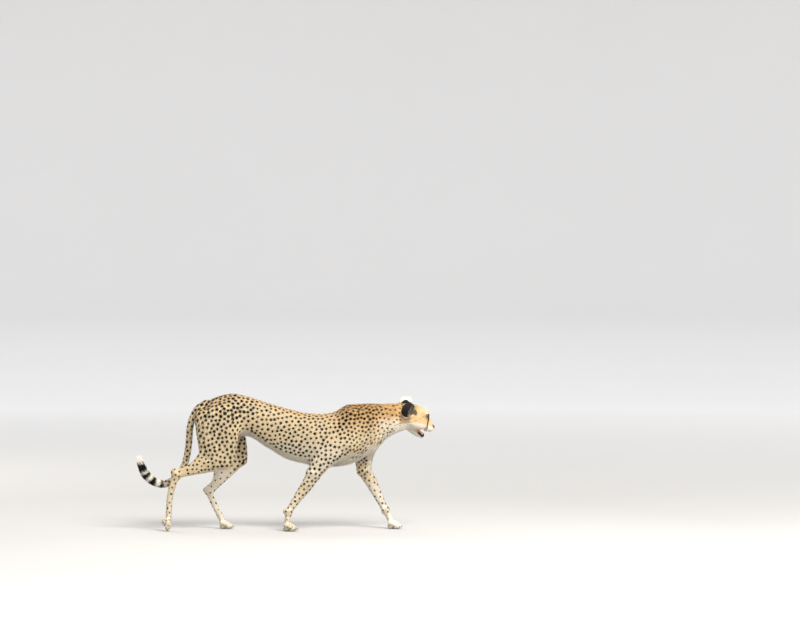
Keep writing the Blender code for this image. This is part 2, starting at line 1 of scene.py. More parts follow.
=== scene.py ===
"""The looks of a life-size walking cheetah: one skin, its coat of tufts, eyes, claws, teeth and whiskers.

The skin is the same blended form as the solids, drawn in by the coat's depth, with lids, lips, nostrils
and ear hollows. Every tuft is a thin closed spike that lies along the body and reaches out to the solids'
surface. Skin and tufts read the same markings, which are worked out from places on the body.
"""

import functools
import json
import math

import bmesh
import bpy
import numpy as np
from mathutils import Matrix, Vector
from mathutils.kdtree import KDTree

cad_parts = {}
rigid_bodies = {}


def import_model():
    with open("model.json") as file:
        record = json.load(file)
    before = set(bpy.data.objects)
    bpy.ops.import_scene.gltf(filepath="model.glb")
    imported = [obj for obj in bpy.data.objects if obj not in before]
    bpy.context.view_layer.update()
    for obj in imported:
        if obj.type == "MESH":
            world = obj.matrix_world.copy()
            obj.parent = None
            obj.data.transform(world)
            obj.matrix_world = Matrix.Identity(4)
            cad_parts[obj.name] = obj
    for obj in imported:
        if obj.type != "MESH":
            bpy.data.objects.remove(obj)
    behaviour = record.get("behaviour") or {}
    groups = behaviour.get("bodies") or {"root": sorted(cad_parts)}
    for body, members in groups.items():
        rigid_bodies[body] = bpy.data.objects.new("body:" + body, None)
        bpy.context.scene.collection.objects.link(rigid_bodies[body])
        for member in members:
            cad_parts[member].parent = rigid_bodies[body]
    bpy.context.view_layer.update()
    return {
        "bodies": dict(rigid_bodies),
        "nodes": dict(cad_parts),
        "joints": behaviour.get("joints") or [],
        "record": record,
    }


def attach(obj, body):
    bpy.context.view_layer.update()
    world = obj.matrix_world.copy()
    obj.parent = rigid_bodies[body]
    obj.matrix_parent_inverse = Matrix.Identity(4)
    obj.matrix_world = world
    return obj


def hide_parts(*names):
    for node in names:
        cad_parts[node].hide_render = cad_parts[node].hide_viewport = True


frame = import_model()
RNG = np.random.default_rng(7)

# The solids' driving dimensions, repeated. AHEAD moves the finished animal over the origin.
STANCE_HALF_WIDTH = 0.078
AHEAD = 0.00933
HEAD_PITCH, HEAD_YAW, HEAD_ROLL = math.radians(24), math.radians(11), math.radians(8)
NOSE_TIP = Vector((0.796, 0.032, 0.560))
JAW_OPENING = math.radians(17)
EYE_RADIUS, EYE_BACK, EYE_OUT, EYE_UP = 0.0145, 0.074, 0.0325, 0.042
EAR_HALF_HEIGHT, EAR_HALF_WIDTH, EAR_HALF_DEPTH = 0.043, 0.041, 0.035

# Meshing. What is lower than FLAT is put on the floor, and REACH is how far a piece counts outside itself.
VOXEL = 0.004
FLAT = 0.0012
REACH = 0.02
TINY = 1e-9

# The coat. COVER is how many times over the tufts cover the skin.
COVER = 1.75
LENGTH_TO_DEPTH, LEAST_LENGTH = 3.2, 0.001
WIDTH_TO_LENGTH, LEAST_WIDTH, MOST_WIDTH = 0.12, 0.0006, 0.0024
ROOT_DEPTH = 0.0006


# ---------------------------------------------------------------- meshes and numbers


def new_object(name, mesh):
    obj = bpy.data.objects.new(name, mesh)
    bpy.context.scene.collection.objects.link(obj)
    return obj


def finished(name, form):
    """A smooth object made from a bmesh, which is then freed."""
    mesh = bpy.data.meshes.new(name)
    form.to_mesh(mesh)
    form.free()
    mesh.shade_smooth()
    return new_object(name, mesh)


def join_rings(form, rings):
    """Faces between each two rings of corners."""
    for one, two in zip(rings, rings[1:]):
        for k in range(len(one)):
            form.faces.new((one[k - 1], one[k], two[k], two[k - 1]))


def read(items, name, width=3, kind=float):
    """One value of every corner, edge or triangle, as rows."""
    found = np.empty(len(items) * width, kind)
    items.foreach_get(name, found)
    return found.reshape(-1, width)


def corners(obj):
    return read(obj.data.vertices, "co")


def corner_normals(obj):
    return read(obj.data.vertices, "normal")


def place_corners(obj, points):
    obj.data.vertices.foreach_set("co", np.ascontiguousarray(points).ravel())
    obj.data.update()


def put(obj, name, values):
    """Store values on the corners of the mesh under a name, as numbers or vectors."""
    kind, key = ("FLOAT", "value") if values.ndim == 1 else ("FLOAT_VECTOR", "vector")
    layer = obj.data.attributes.new(name, kind, "POINT")
    layer.data.foreach_set(key, np.ascontiguousarray(values, np.float32).ravel())


def neighbour_mean(obj, values):
    """The mean of each corner's neighbours, for rows of values."""
    a, b = read(obj.data.edges, "vertices", 2, int).T
    size = len(values)
    count = np.bincount(a, minlength=size) + np.bincount(b, minlength=size)
    total = [np.bincount(a, v[b], size) + np.bincount(b, v[a], size) for v in values.T]
    return np.stack(total, 1) / count[:, None]


def unit(v):
    return v / (np.linalg.norm(v, axis=1)[:, None] + 1e-12)


def smooth(low, high, value):
    """0 below low, 1 above high, and a soft rise between them. Low may be the larger one."""
    t = np.clip((value - low) / (high - low), 0, 1)
    return t * t * (3 - 2 * t)


def most(*values):
    """The largest of several values at each point."""
    return functools.reduce(np.maximum, values)


def toward(value, target, share):
    return value + (target - value) * share


def point(x, y, z):
    return Vector((x, y, z))


def placed(place, *rows):
    """What a sweep takes, from rows of (x, y, z, half depth, half width) and what places x, y, z."""
    return [(place(x, y, z), deep, wide) for x, y, z, deep, wide in rows]


# ---------------------------------------------------------------- swept ellipses


def curve_through(rows, steps=4):
    """Rows of numbers joined by a Catmull-Rom curve, with steps spans between each two."""
    rows = np.array(rows, float)
    if len(rows) < 3:
        t = np.linspace(0, 1, len(rows))
        fine = np.linspace(0, 1, (len(rows) - 1) * 2 + 1)
        return np.stack([np.interp(fine, t, c) for c in rows.T], axis=1)
    padded = np.vstack([2 * rows[0] - rows[1], rows, 2 * rows[-1] - rows[-2]])
    made = []
    for a, b, c, d in zip(padded, padded[1:], padded[2:], padded[3:]):
        for t in np.arange(steps) / steps:
            bend = (2 * a - 5 * b + 4 * c - d) * t**2 + (3 * b - a - 3 * c + d) * t**3
            made.append(0.5 * (2 * b + (c - a) * t + bend))
    return np.vstack([made, rows[-1]])


def sweep(stations, side=(0, 1, 0), blend=0.015, cap=1.0):
    """A muscle or bone. Each station is (point, half depth, half width): the width lies along side, and
    the depth across both that and the path. The ends are round, cap times the smaller half size long."""
    rows = curve_through([[*p, deep, wide] for p, deep, wide in stations])
    centres, deep, wide = rows[:, :3], rows[:, 3], rows[:, 4]
    along = np.diff(centres, axis=0)
    length = np.linalg.norm(along, axis=1)
    along = along / length[:, None]
    across = np.array(side, float) - along * (along @ np.array(side, float))[:, None]
    across /= np.linalg.norm(across, axis=1)[:, None]
    reach = max(deep.max(), wide.max()) + REACH
    return {
        "centres": centres, "length": length, "along": along,
        "across": across, "up": np.cross(along, across),
        "deep": deep, "wide": wide, "cap": cap, "blend": blend,
        "low": centres.min(0) - reach, "high": centres.max(0) + reach,
    }


def ball(centre, radii, side=(0, 1, 0), forward=(1, 0, 0), blend=0.015):
    """An ellipsoid, with radii along forward, along side and across both."""
    long, wide, deep = radii
    centre = Vector(centre)
    step = Vector(forward).normalized() * 0.0005
    return {
        **sweep([(centre - step, deep, wide), (centre + step, deep, wide)], side, blend),
        "cap": long / min(wide, deep),
        "low": np.array(centre) - max(radii) - REACH,
        "high": np.array(centre) + max(radii) + REACH,
    }


def ellipsoid_distance(*axes):
    """About how far points are outside an ellipsoid, from their offset and its radius on each axis."""
    scaled = np.sqrt(sum((offset / radius) ** 2 for offset, radius in axes)) + TINY
    slope = np.sqrt(sum((offset / radius / radius) ** 2 for offset, radius in axes)) + TINY
    return scaled * (scaled - 1) / slope


def sweep_distance(points, piece):
    """About how far each point is outside the piece, in metres."""
    nearest = np.full(len(points), 1e3)
    for i, length in enumerate(piece["length"]):
        offset = points - piece["centres"][i]
        t = np.clip(offset @ piece["along"][i] / length, 0, 1)
        offset -= (t * length)[:, None] * piece["along"][i]
        wide = piece["wide"][i] + t * (piece["wide"][i + 1] - piece["wide"][i])
        deep = piece["deep"][i] + t * (piece["deep"][i + 1] - piece["deep"][i])
        ways = (piece[k][i] for k in ("across", "up", "along"))
        radii = (wide, deep, piece["cap"] * np.minimum(wide, deep))
        found = ellipsoid_distance(*((offset @ way, radius) for way, radius in zip(ways, radii)))
        nearest = np.minimum(nearest, found)
    return nearest


def loft(stations, cap, blend=0.03):
    """The trunk: upright elliptical sections (x, top, bottom, half width) along X, with ends cap long."""
    rows = curve_through(stations, 8)
    return {
        "x": rows[:, 0], "middle": (rows[:, 1] + rows[:, 2]) / 2, "deep": (rows[:, 1] - rows[:, 2]) / 2,
        "wide": rows[:, 3], "cap": cap, "blend": blend,
        "low": np.array([rows[0, 0] - 0.08, -rows[:, 3].max() - 0.03, rows[:, 2].min() - 0.03]),
        "high": np.array([rows[-1, 0] + 0.08, rows[:, 3].max() + 0.03, rows[:, 1].max() + 0.03]),
    }


def loft_distance(points, piece):
    x = points[:, 0]
    middle, deep, wide = (np.interp(x, piece["x"], piece[k]) for k in ("middle", "deep", "wide"))
    past_ends = x - np.clip(x, piece["x"][0], piece["x"][-1])
    return ellipsoid_distance((points[:, 1], wide), (points[:, 2] - middle, deep), (past_ends, piece["cap"]))


def joined(a, b, blend):
    """The union of two distances, with a fillet blend wide."""
    h = np.maximum(blend - np.abs(a - b), 0) / blend
    return np.minimum(a, b) - h * h * blend / 4


def piece_distance(points, piece):
    return loft_distance(points, piece) if "x" in piece else sweep_distance(points, piece)


def near(low, high, piece):
    return bool((piece["low"] < high).all() and (piece["high"] > low).all())


def body_distance(points, groups):
    """The blended distance of all groups of pieces at points that lie close together."""
    low, high = points.min(0), points.max(0)
    total = np.full(len(points), 1.0)
    for pieces, blend in groups:
        group = None
        for piece in pieces:
            if not near(low, high, piece):
                continue
            found = piece_distance(points, piece)
            if piece.get("carve"):
                group = None if group is None else -joined(-group, found, piece["blend"])
            else:
                group = found if group is None else joined(group, found, piece["blend"])
        if group is not None:
            total = joined(total, group, blend)
    return np.maximum(total, -points[:, 2])


# ---------------------------------------------------------------- anatomy


def along(a, b, t, ahead=0.0):
    """A point t of the way from a to b, moved ahead across the bone."""
    way = (b - a).normalized()
    return a.lerp(b, t) + Vector((-way.z, 0, way.x)) * ahead


def muscle(a, b, *rows):
    """A sweep's stations by the bone from a to b, from rows of (t, ahead, half depth, half width)."""
    return [(along(a, b, t, ahead), deep, wide) for t, ahead, deep, wide in rows]


def trunk():
    rows = [
        (-0.455, 0.672, 0.590, 0.036), (-0.40, 0.716, 0.548, 0.066), (-0.30, 0.741, 0.512, 0.084),
        (-0.20, 0.721, 0.496, 0.080), (-0.10, 0.690, 0.435, 0.080), (0.00, 0.660, 0.378, 0.089),
        (0.10, 0.637, 0.352, 0.098), (0.20, 0.632, 0.338, 0.102), (0.30, 0.650, 0.343, 0.096),
        (0.38, 0.665, 0.366, 0.084), (0.455, 0.668, 0.415, 0.070),
    ]
    return [loft(rows, cap=0.05)]


def neck():
    rows = [
        (0.36, 0, 0.552, 0.128, 0.076), (0.46, 0, 0.572, 0.110, 0.069), (0.545, 0.004, 0.600, 0.090, 0.061),
        (0.61, 0.010, 0.612, 0.078, 0.055), (0.655, 0.014, 0.614, 0.066, 0.051),
    ]
    return [sweep(placed(point, *rows))]


HEAD = (
    Matrix.Translation(NOSE_TIP)
    @ Matrix.Rotation(HEAD_YAW, 4, "Z")
    @ Matrix.Rotation(HEAD_PITCH, 4, "Y")
    @ Matrix.Rotation(HEAD_ROLL, 4, "X")
)
JAW_HINGE = Vector((-0.128, 0, -0.030))


def in_head(x, y, z):
    """A place on the head, from its nose tip with the mouth level: x forward, y to its left and z up."""
    return HEAD @ Vector((x, y, z))


def turned(x, y, z):
    """A direction on the head."""
    return (HEAD.to_3x3() @ Vector((x, y, z))).normalized()


def in_jaw(x, y, z):
    """A place on the lower jaw, given as if the mouth were shut."""
    return HEAD @ (JAW_HINGE + Matrix.Rotation(JAW_OPENING, 3, "Y") @ (Vector((x, y, z)) - JAW_HINGE))


def head():
    side, ahead = turned(0, 1, 0), turned(1, 0, 0)
    muzzle = [
        (-0.085, 0, -0.010, 0.036, 0.040), (-0.045, 0, -0.014, 0.029, 0.031),
        (-0.022, 0, -0.018, 0.021, 0.024),
    ]
    bridge = [
        (-0.085, 0, 0.040, 0.016, 0.024), (-0.045, 0, 0.018, 0.013, 0.016),
        (-0.012, 0, -0.004, 0.009, 0.0125),
    ]
    made = [
        ball(in_head(-0.122, 0, 0.012), (0.070, 0.056, 0.058), side, ahead),
        ball(in_head(-0.092, 0, 0.030), (0.042, 0.041, 0.034), side, ahead, 0.02),
        sweep(placed(in_head, *muzzle), side, 0.02),
        sweep(placed(in_head, *bridge), side),
        ball(in_head(-0.008, 0, -0.008), (0.010, 0.014, 0.010), side, ahead, 0.006),
    ]
    for y in (-1, 1):
        cheek = ball(in_head(-0.100, y * 0.040, -0.016), (0.048, 0.026, 0.034), side, ahead, 0.02)
        pad_way = turned(1, -0.1 * y, 0.05)
        pad = ball(in_head(-0.030, y * 0.016, -0.0215), (0.026, 0.0165, 0.0155), side, pad_way, 0.01)
        brow_way = turned(1, -0.3 * y, 0)
        brow = ball(in_head(-0.084, y * 0.031, 0.044), (0.024, 0.018, 0.015), side, brow_way)
        made += [cheek, pad, brow]
    return made


def lower_jaw():
    rows = [
        (-0.135, 0, -0.051, 0.030, 0.036), (-0.085, 0, -0.055, 0.0205, 0.028),
        (-0.052, 0, -0.050, 0.0185, 0.021), (-0.036, 0, -0.046, 0.016, 0.0165),
    ]
    return [sweep(placed(in_jaw, *rows), turned(0, 1, 0))]


# For each ear on the head: its base, the way up to its tip and the way that its hollow faces.
EARS = {
    -1: ((-0.179, -0.047, 0.007), (-0.10, -0.42, 0.90), (0.84, -0.54, 0.0)),
    1: ((-0.176, 0.043, 0.018), (-0.46, 0.38, 0.80), (0.94, 0.33, 0.0)),
}


def ear_axes(y):
    """An ear's base and its two ways, made square to each other. The left ear is held further back."""
    base, tip, facing = EARS[y]
    tip = turned(*tip)
    facing = turned(*facing)
    return in_head(*base), tip, (facing - tip * facing.dot(tip)).normalized()


def ear(y):
    base, tip, facing = ear_axes(y)
    radii = (EAR_HALF_HEIGHT, EAR_HALF_WIDTH, EAR_HALF_DEPTH)
    return [ball(base + tip * 0.026, radii, tip.cross(facing), tip)]


def fore_leg(top, shoulder, elbow, wrist, knuckle):
    """The bones' ends from the shoulder blade down to the knuckles."""
    blade = muscle(top, shoulder, (0, 0, 0.040, 0.016), (0.5, 0, 0.066, 0.026), (1, 0, 0.052, 0.034))
    upper_arm = muscle(
        shoulder, elbow, (0, 0, 0.050, 0.036), (0.5, -0.016, 0.050, 0.036), (1, 0, 0.038, 0.029)
    )
    triceps = muscle(top, shoulder, (0.62, -0.062, 0.040, 0.022))
    triceps += muscle(shoulder, elbow, (0.55, -0.042, 0.034, 0.026), (1.02, -0.024, 0.017, 0.015))
    forearm = muscle(
        elbow, wrist, (0, 0, 0.039, 0.029), (0.30, 0.003, 0.034, 0.026), (0.65, 0, 0.025, 0.021),
        (1, 0, 0.019, 0.020),
    )
    return [
        sweep(blade, blend=0.03),
        sweep(upper_arm, blend=0.02),
        sweep(triceps, blend=0.025),
        sweep(forearm),
        ball(wrist, (0.019, 0.021, 0.019)),
        ball(along(elbow, wrist, 1.04, -0.018), (0.009, 0.009, 0.008), blend=0.012),
        sweep([(wrist, 0.017, 0.0195), (knuckle, 0.0160, 0.025)]),
    ] + paw(knuckle, 0.0, 0.0165, 1.0)


def hind_leg(hip, knee, hock, knuckle, calf, pitch, bow):
    """The bones' ends from the hip down to the knuckles. Calf is where the ham muscles end on the shank."""
    side = math.copysign(1, hip.y)
    seat = hip + Vector((-0.078, -0.016 * side, 0.002))
    instep = hock.lerp(knuckle, 0.45) + Vector((bow, 0, 0))
    front_of_thigh = muscle(
        hip, knee, (-0.12, 0.045, 0.058, 0.034), (0.45, 0.038, 0.056, 0.040), (0.88, 0.012, 0.044, 0.034),
        (1.03, 0, 0.032, 0.029),
    )
    back_of_thigh = [(seat, 0.050, 0.034)]
    back_of_thigh += muscle(hip, knee, (0.45, -0.056, 0.056, 0.036), (0.88, -0.050, 0.042, 0.032))
    back_of_thigh += muscle(knee, hock, (0.30, -0.018, 0.026, 0.024))
    ham = muscle(seat, calf, (0, 0, 0.036, 0.030), (0.5, 0, 0.038, 0.027), (1, 0, 0.034, 0.022))
    ham += muscle(knee, hock, (0.72, -0.018, 0.013, 0.012))
    heel_cord = muscle(
        knee, hock, (0.05, -0.020, 0.032, 0.026), (0.40, -0.020, 0.025, 0.021),
        (0.75, -0.021, 0.0125, 0.0115), (1.0, -0.023, 0.0115, 0.0115),
    )
    shank = muscle(
        knee, hock, (0, 0, 0.034, 0.030), (0.40, 0, 0.029, 0.022), (0.80, 0, 0.021, 0.017),
        (1, 0, 0.0200, 0.0185),
    )
    return [
        sweep(front_of_thigh, blend=0.03),
        sweep(back_of_thigh, blend=0.03),
        sweep(ham, blend=0.03),
        ball(along(hip, knee, 0.15), (0.09, 0.042, 0.10), blend=0.03),
        sweep(heel_cord, blend=0.02),
        sweep(shank),
        ball(along(knee, hock, 1.02, -0.021), (0.013, 0.0125, 0.013), blend=0.02),
        sweep([(hock, 0.0205, 0.019), (instep, 0.0180, 0.0175), (knuckle, 0.0165, 0.0235)]),
    ] + paw(knuckle, pitch, 0.0150, 0.95)


# Each claw's root, its tip and the way up from its toe, as the paws are made.
CLAWS = []


def paw(centre, pitch, spread, size):
    """Four toes and the pads, from the knuckle joint. Pitch turns the toes down from level."""
    frame = Matrix.Translation(centre) @ Matrix.Rotation(pitch, 4, "Y")

    def at(x, y, z):
        return frame @ Vector((x * size, y, z * size))

    floor = -centre.z / size if pitch < 0.5 else -0.036
    ahead, up = (at(*way) - at(0, 0, 0) for way in ((1, 0, 0), (0, 0, 1)))
    made = [ball(at(0.000, 0, floor + 0.014), (0.021, 0.022, 0.0155), forward=ahead, blend=0.01)]
    for place in (-1.5, -0.5, 0.5, 1.5):
        y = place * spread
        back = 0.012 if abs(place) > 1 else 0.0
        toe = [
            (0.004 - back, y * 0.85, floor + 0.034, 0.0135, 0.0110),
            (0.026 - back, y, floor + 0.028, 0.0135, 0.0110),
            (0.046 - back, y, floor + 0.014, 0.0105, 0.0098),
        ]
        made.append(sweep(placed(at, *toe), blend=0.006))
        CLAWS.append((at(0.044 - back, y, floor + 0.020), at(0.061 - back, y, floor + 0.008), up))
    return made


# Places on the tail's middle line, with its half thickness at each.
TAIL_PATH = [
    (-0.435, 0.000, 0.678, 0.030), (-0.478, 0.000, 0.655, 0.026), (-0.512, 0.000, 0.606, 0.0225),
    (-0.527, 0.000, 0.545, 0.0215), (-0.532, 0.001, 0.480, 0.0210), (-0.540, 0.002, 0.415, 0.0205),
    (-0.560, 0.003, 0.345, 0.0205), (-0.604, 0.004, 0.280, 0.0215), (-0.664, 0.004, 0.250, 0.0235),
    (-0.722, 0.003, 0.263, 0.0255), (-0.765, 0.002, 0.300, 0.0275), (-0.787, 0.001, 0.343, 0.0265),
    (-0.797, 0.000, 0.376, 0.020),
]


def tail():
    return [sweep(placed(point, *((x, y, z, r, r) for x, y, z, r in TAIL_PATH)))]


RIGHT, LEFT = -STANCE_HALF_WIDTH, STANCE_HALF_WIDTH
KNEE_OUT = 0.004
# Top of the blade, shoulder, elbow, wrist and knuckle.
FORE_LEGS = [
    (
        (0.345, -0.052, 0.640), (0.322, -0.074, 0.470), (0.144, RIGHT, 0.308),
        (0.008, RIGHT, 0.106), (0.000, RIGHT, 0.036),
    ),
    (
        (0.375, 0.052, 0.640), (0.458, 0.072, 0.485), (0.418, LEFT, 0.315),
        (0.530, LEFT, 0.106), (0.562, LEFT, 0.036),
    ),
]
# Hip, knee, hock, knuckle, end of the ham on the shank, pitch of the toes and bow of the instep.
HIND_LEGS = [
    (
        (-0.375, -0.068, 0.615), (-0.329, RIGHT - KNEE_OUT, 0.370), (-0.600, RIGHT, 0.303),
        (-0.640, RIGHT, 0.0565), (-0.445, RIGHT, 0.415), math.radians(68), -0.012,
    ),
    (
        (-0.375, 0.068, 0.615), (-0.256, LEFT + KNEE_OUT, 0.378), (-0.425, LEFT, 0.200),
        (-0.350, LEFT, 0.036), (-0.375, LEFT, 0.385), 0.0, -0.004,
    ),
]


def body():
    """Groups of pieces, each with the width of its fillet to the groups before it."""
    made = [(trunk(), 0.01), (neck(), 0.06), (head(), 0.03), (lower_jaw(), 0.012)]
    made += [(ear(-1), 0.012), (ear(1), 0.012)]
    for places in FORE_LEGS:
        made.append((fore_leg(*(Vector(p) for p in places)), 0.035))
    for *places, pitch, bow in HIND_LEGS:
        made.append((hind_leg(*(Vector(p) for p in places), pitch, bow), 0.035))
    made.append((tail(), 0.015))
    return made


BODY = body()


# ---------------------------------------------------------------- meshing


def by_brick(points, groups, size=0.10):
    """body_distance for points anywhere, worked out brick by brick."""
    found = np.empty(len(points))
    _, number = np.unique(np.floor(points / size).astype(int), axis=0, return_inverse=True)
    number = number.reshape(-1)
    order = np.argsort(number, kind="stable")
    for chunk in np.split(order, np.flatnonzero(np.diff(number[order])) + 1):
        found[chunk] = body_distance(points[chunk], groups)
    return found


def pulled(points, groups, rounds, step=0.0005, limit=0.012):
    """The points moved onto the blended surface, by no more than the limit in each round."""
    for _ in range(rounds):
        here = by_brick(points, groups)
        slope = np.stack([(by_brick(points + step * axis, groups) - here) / step for axis in np.eye(3)], 1)
        size = np.maximum((slope**2).sum(1), 0.2)
        points = points - slope * np.clip(here / size, -limit, limit)[:, None]
    return points


def beads(piece):
    """Closely spaced (centre, along, across, up, radii) on the piece's path."""
    if "x" in piece:
        for x, middle, deep, wide in zip(piece["x"], piece["middle"], piece["deep"], piece["wide"]):
            yield (x, 0, middle), (1, 0, 0), (0, 1, 0), (0, 0, 1), (0.03, wide, deep)
        return
    for i, length in enumerate(piece["length"]):
        count = max(1, math.ceil(length / (0.5 * min(piece["wide"][i], piece["deep"][i]))))
        for t in np.linspace(0, 1, count + 1):
            wide = piece["wide"][i] + t * (piece["wide"][i + 1] - piece["wide"][i])
            deep = piece["deep"][i] + t * (piece["deep"][i + 1] - piece["deep"][i])
            centre = piece["centres"][i] + t * length * piece["along"][i]
            radii = (piece["cap"] * min(wide, deep), wide, deep)
            yield centre, piece["along"][i], piece["across"][i], piece["up"][i], radii


def rough_form(groups):
    """Overlapping balls along every muscle and bone, as one mesh."""
    form = bmesh.new()
    bmesh.ops.create_uvsphere(form, u_segments=12, v_segments=8, radius=1)
    round_places = np.array([v.co for v in form.verts])
    faces = [[v.index for v in f.verts] for f in form.faces]
    form.free()
    places = []
    for piece in (piece for pieces, _ in groups for piece in pieces):
        for centre, *axes, radii in beads(piece):
            places.append(np.array(centre) + (round_places * radii) @ np.array(axes))
    mesh = bpy.data.meshes.new("body")
    all_faces = [[i + n * len(round_places) for i in face] for n in range(len(places)) for face in faces]
    mesh.from_pydata(np.vstack(places).tolist(), [], all_faces)
    return new_object("body", mesh)


def remesh(obj):
    modifier = obj.modifiers.new("remesh", "REMESH")
    modifier.mode, modifier.voxel_size = "VOXEL", VOXEL
    ready = obj.evaluated_get(bpy.context.evaluated_depsgraph_get())
    mesh = bpy.data.meshes.new_from_object(ready)
    obj.modifiers.clear()
    old, obj.data = obj.data, mesh
    bpy.data.meshes.remove(old)


def blended_body(groups):
    """The whole animal as one closed mesh on the blended surface."""
    obj = rough_form(groups)
    for _ in range(2):
        remesh(obj)
        place_corners(obj, pulled(corners(obj), groups, 2))
    points = corners(obj)
    for _ in range(2):
        points = (points + neighbour_mean(obj, points)) / 2
    points = pulled(points, groups, 2)
    points[points[:, 2] < FLAT, 2] = 0
    place_corners(obj, points)
    return obj


# ---------------------------------------------------------------- details that only the skin has


def carved(piece):
    """A piece that is taken away from those before it in its group."""
    return {**piece, "carve": True}


def eye_place(y):
    return in_head(-EYE_BACK, y * EYE_OUT, EYE_UP)


# The way that the left eye looks and the way across it, in the head's axes.
EYE_LOOK, EYE_ACROSS = (0.76, 0.64, 0.06), (-0.64, 0.76, 0.12)


def eye_axes(y):
    """The way that an eye looks, forward and a little outward, and the ways across it and up."""
    look = turned(EYE_LOOK[0], EYE_LOOK[1] * y, EYE_LOOK[2])
    across = turned(EYE_ACROSS[0] * y, EYE_ACROSS[1], EYE_ACROSS[2] * y)
    across = (across - look * across.dot(look)).normalized()
    return look, across, look.cross(across)


def face_details():
    """The nose pad, nostrils, the groove under the nose, the palate, and lids and brows round the eyes."""
    side, ahead = turned(0, 1, 0), turned(1, 0, 0)
    groove = [
        (0.0045, 0, -0.010, 0.0012, 0.0010), (-0.001, 0, -0.024, 0.0012, 0.0010),
        (-0.009, 0, -0.038, 0.0012, 0.0010),
    ]
    palate = [
        (-0.100, 0, -0.048, 0.008, 0.016), (-0.060, 0, -0.046, 0.010, 0.018),
        (-0.032, 0, -0.040, 0.007, 0.013),
    ]
    nostril = [
        (0.0050, 0.0062, -0.0075, 0.0026, 0.0022), (0.0000, 0.0098, -0.0050, 0.0030, 0.0022),
        (-0.0040, 0.0140, -0.0065, 0.0020, 0.0014),
    ]
    brow = [
        (-0.068, 0.029, 0.0530, 0.0030, 0.0035), (-0.077, 0.039, 0.0545, 0.0040, 0.0045),
        (-0.090, 0.045, 0.0490, 0.0030, 0.0035),
    ]
    made = [
        ball(in_head(-0.0045, 0, -0.0065), (0.0078, 0.0150, 0.0090), side, turned(1, 0, 0.1), 0.003),
        carved(sweep(placed(in_head, *groove), side, 0.003)),
        carved(sweep(placed(in_head, *palate), side, 0.004)),
    ]
    for y in (-1, 1):
        eye, (look, across, above) = eye_place(y), eye_axes(y)
        brow_here, nostril_here = (
            placed(lambda x, out, z: in_head(x, y * out, z), *rows) for rows in (brow, nostril)
        )
        opening = eye + look * 0.0135 - above * 0.0008
        made += [
            ball(eye, [EYE_RADIUS + 0.0028] * 3, side, ahead, 0.007),
            sweep(brow_here, side, 0.010),
            carved(ball(opening, (0.0145, 0.0108, 0.0064), across, look, 0.0012)),
            carved(sweep(nostril_here, side, 0.0015)),
        ]
    return made


def whisker_places():
    """The whiskers' roots on the left pad, in the head's axes, with the row and the number in the row."""
    for row in range(3):
        for i in range(5):
            yield row, i, (-0.018 - 0.0065 * i, 0.026 + 0.0008 * i, -0.012 - 0.0062 * row)


def mouth_details():
    """The hollow of the lower jaw behind its lips, and the tongue that lies in it."""
    side = turned(0, 1, 0)
    floor = [
        (-0.105, 0, -0.036, 0.008, 0.017), (-0.070, 0, -0.033, 0.009, 0.0145),
        (-0.046, 0, -0.031, 0.006, 0.010),
    ]
    tongue = [
        (-0.110, 0, -0.041, 0.007, 0.0140), (-0.075, 0, -0.036, 0.0055, 0.0130),
        (-0.052, 0, -0.0355, 0.0040, 0.0105),
    ]
    hollow = carved(sweep(placed(in_jaw, *floor), side, 0.003))
    return [hollow, sweep(placed(in_jaw, *tongue), side, 0.001)]


def ear_hollow(y):
    base, tip, facing = ear_axes(y)
    across = tip.cross(facing)
    radii = (EAR_HALF_HEIGHT - 0.0080, EAR_HALF_WIDTH - 0.0040, EAR_HALF_DEPTH - 0.0040)
    inward = across * (0.004 if across.y * y < 0 else -0.004)
    return [carved(ball(base + tip * 0.034 + facing * 0.034 + inward, radii, across, tip, 0.004))]


def fine_body():
    """The body's groups with the details of the face, mouth and ears."""
    made = list(BODY)
    details = [
        (face_details(), 0.03), (mouth_details(), 0.007), (ear_hollow(-1), 0.012), (ear_hollow(1), 0.012),
    ]
    for i, (pieces, blend) in enumerate(details, 2):
        made[i] = (made[i][0] + pieces, blend)
    return made


# ---------------------------------------------------------------- places on the body


def head_place(points):
    """Points in the head's own axes, from the nose tip."""
    turn = np.array(HEAD.inverted())
    return points @ turn[:3, :3].T + turn[:3, 3]


def jaw_place(h):
    """Points in the head's axes as they would lie if the mouth were shut."""
    turn = np.array(Matrix.Rotation(-JAW_OPENING, 3, "Y"))
    return (h - np.array(JAW_HINGE)) @ turn.T + np.array(JAW_HINGE)


def segment_distance(points, a, b):
    """Each point's distance from the line from a to b, and how far along it lies, from 0 to 1."""
    a, b = np.array(a, float), np.array(b, float)
    way = b - a
    t = np.clip((points - a) @ way / (way @ way), 0, 1)
    return np.linalg.norm(points - a - t[:, None] * way, axis=1), t


def line_distance(points, line):
    """Each point's distance from a line of several places, and its place along it, counted in its rows."""
    best, place = np.full(len(points), 9.0), np.zeros(len(points))
    for i, (a, b) in enumerate(zip(line, line[1:])):
        found, t = segment_distance(points, a, b)
        nearer = found < best
        best = np.where(nearer, found, best)
        place = np.where(nearer, i + t, place)
    return best, place


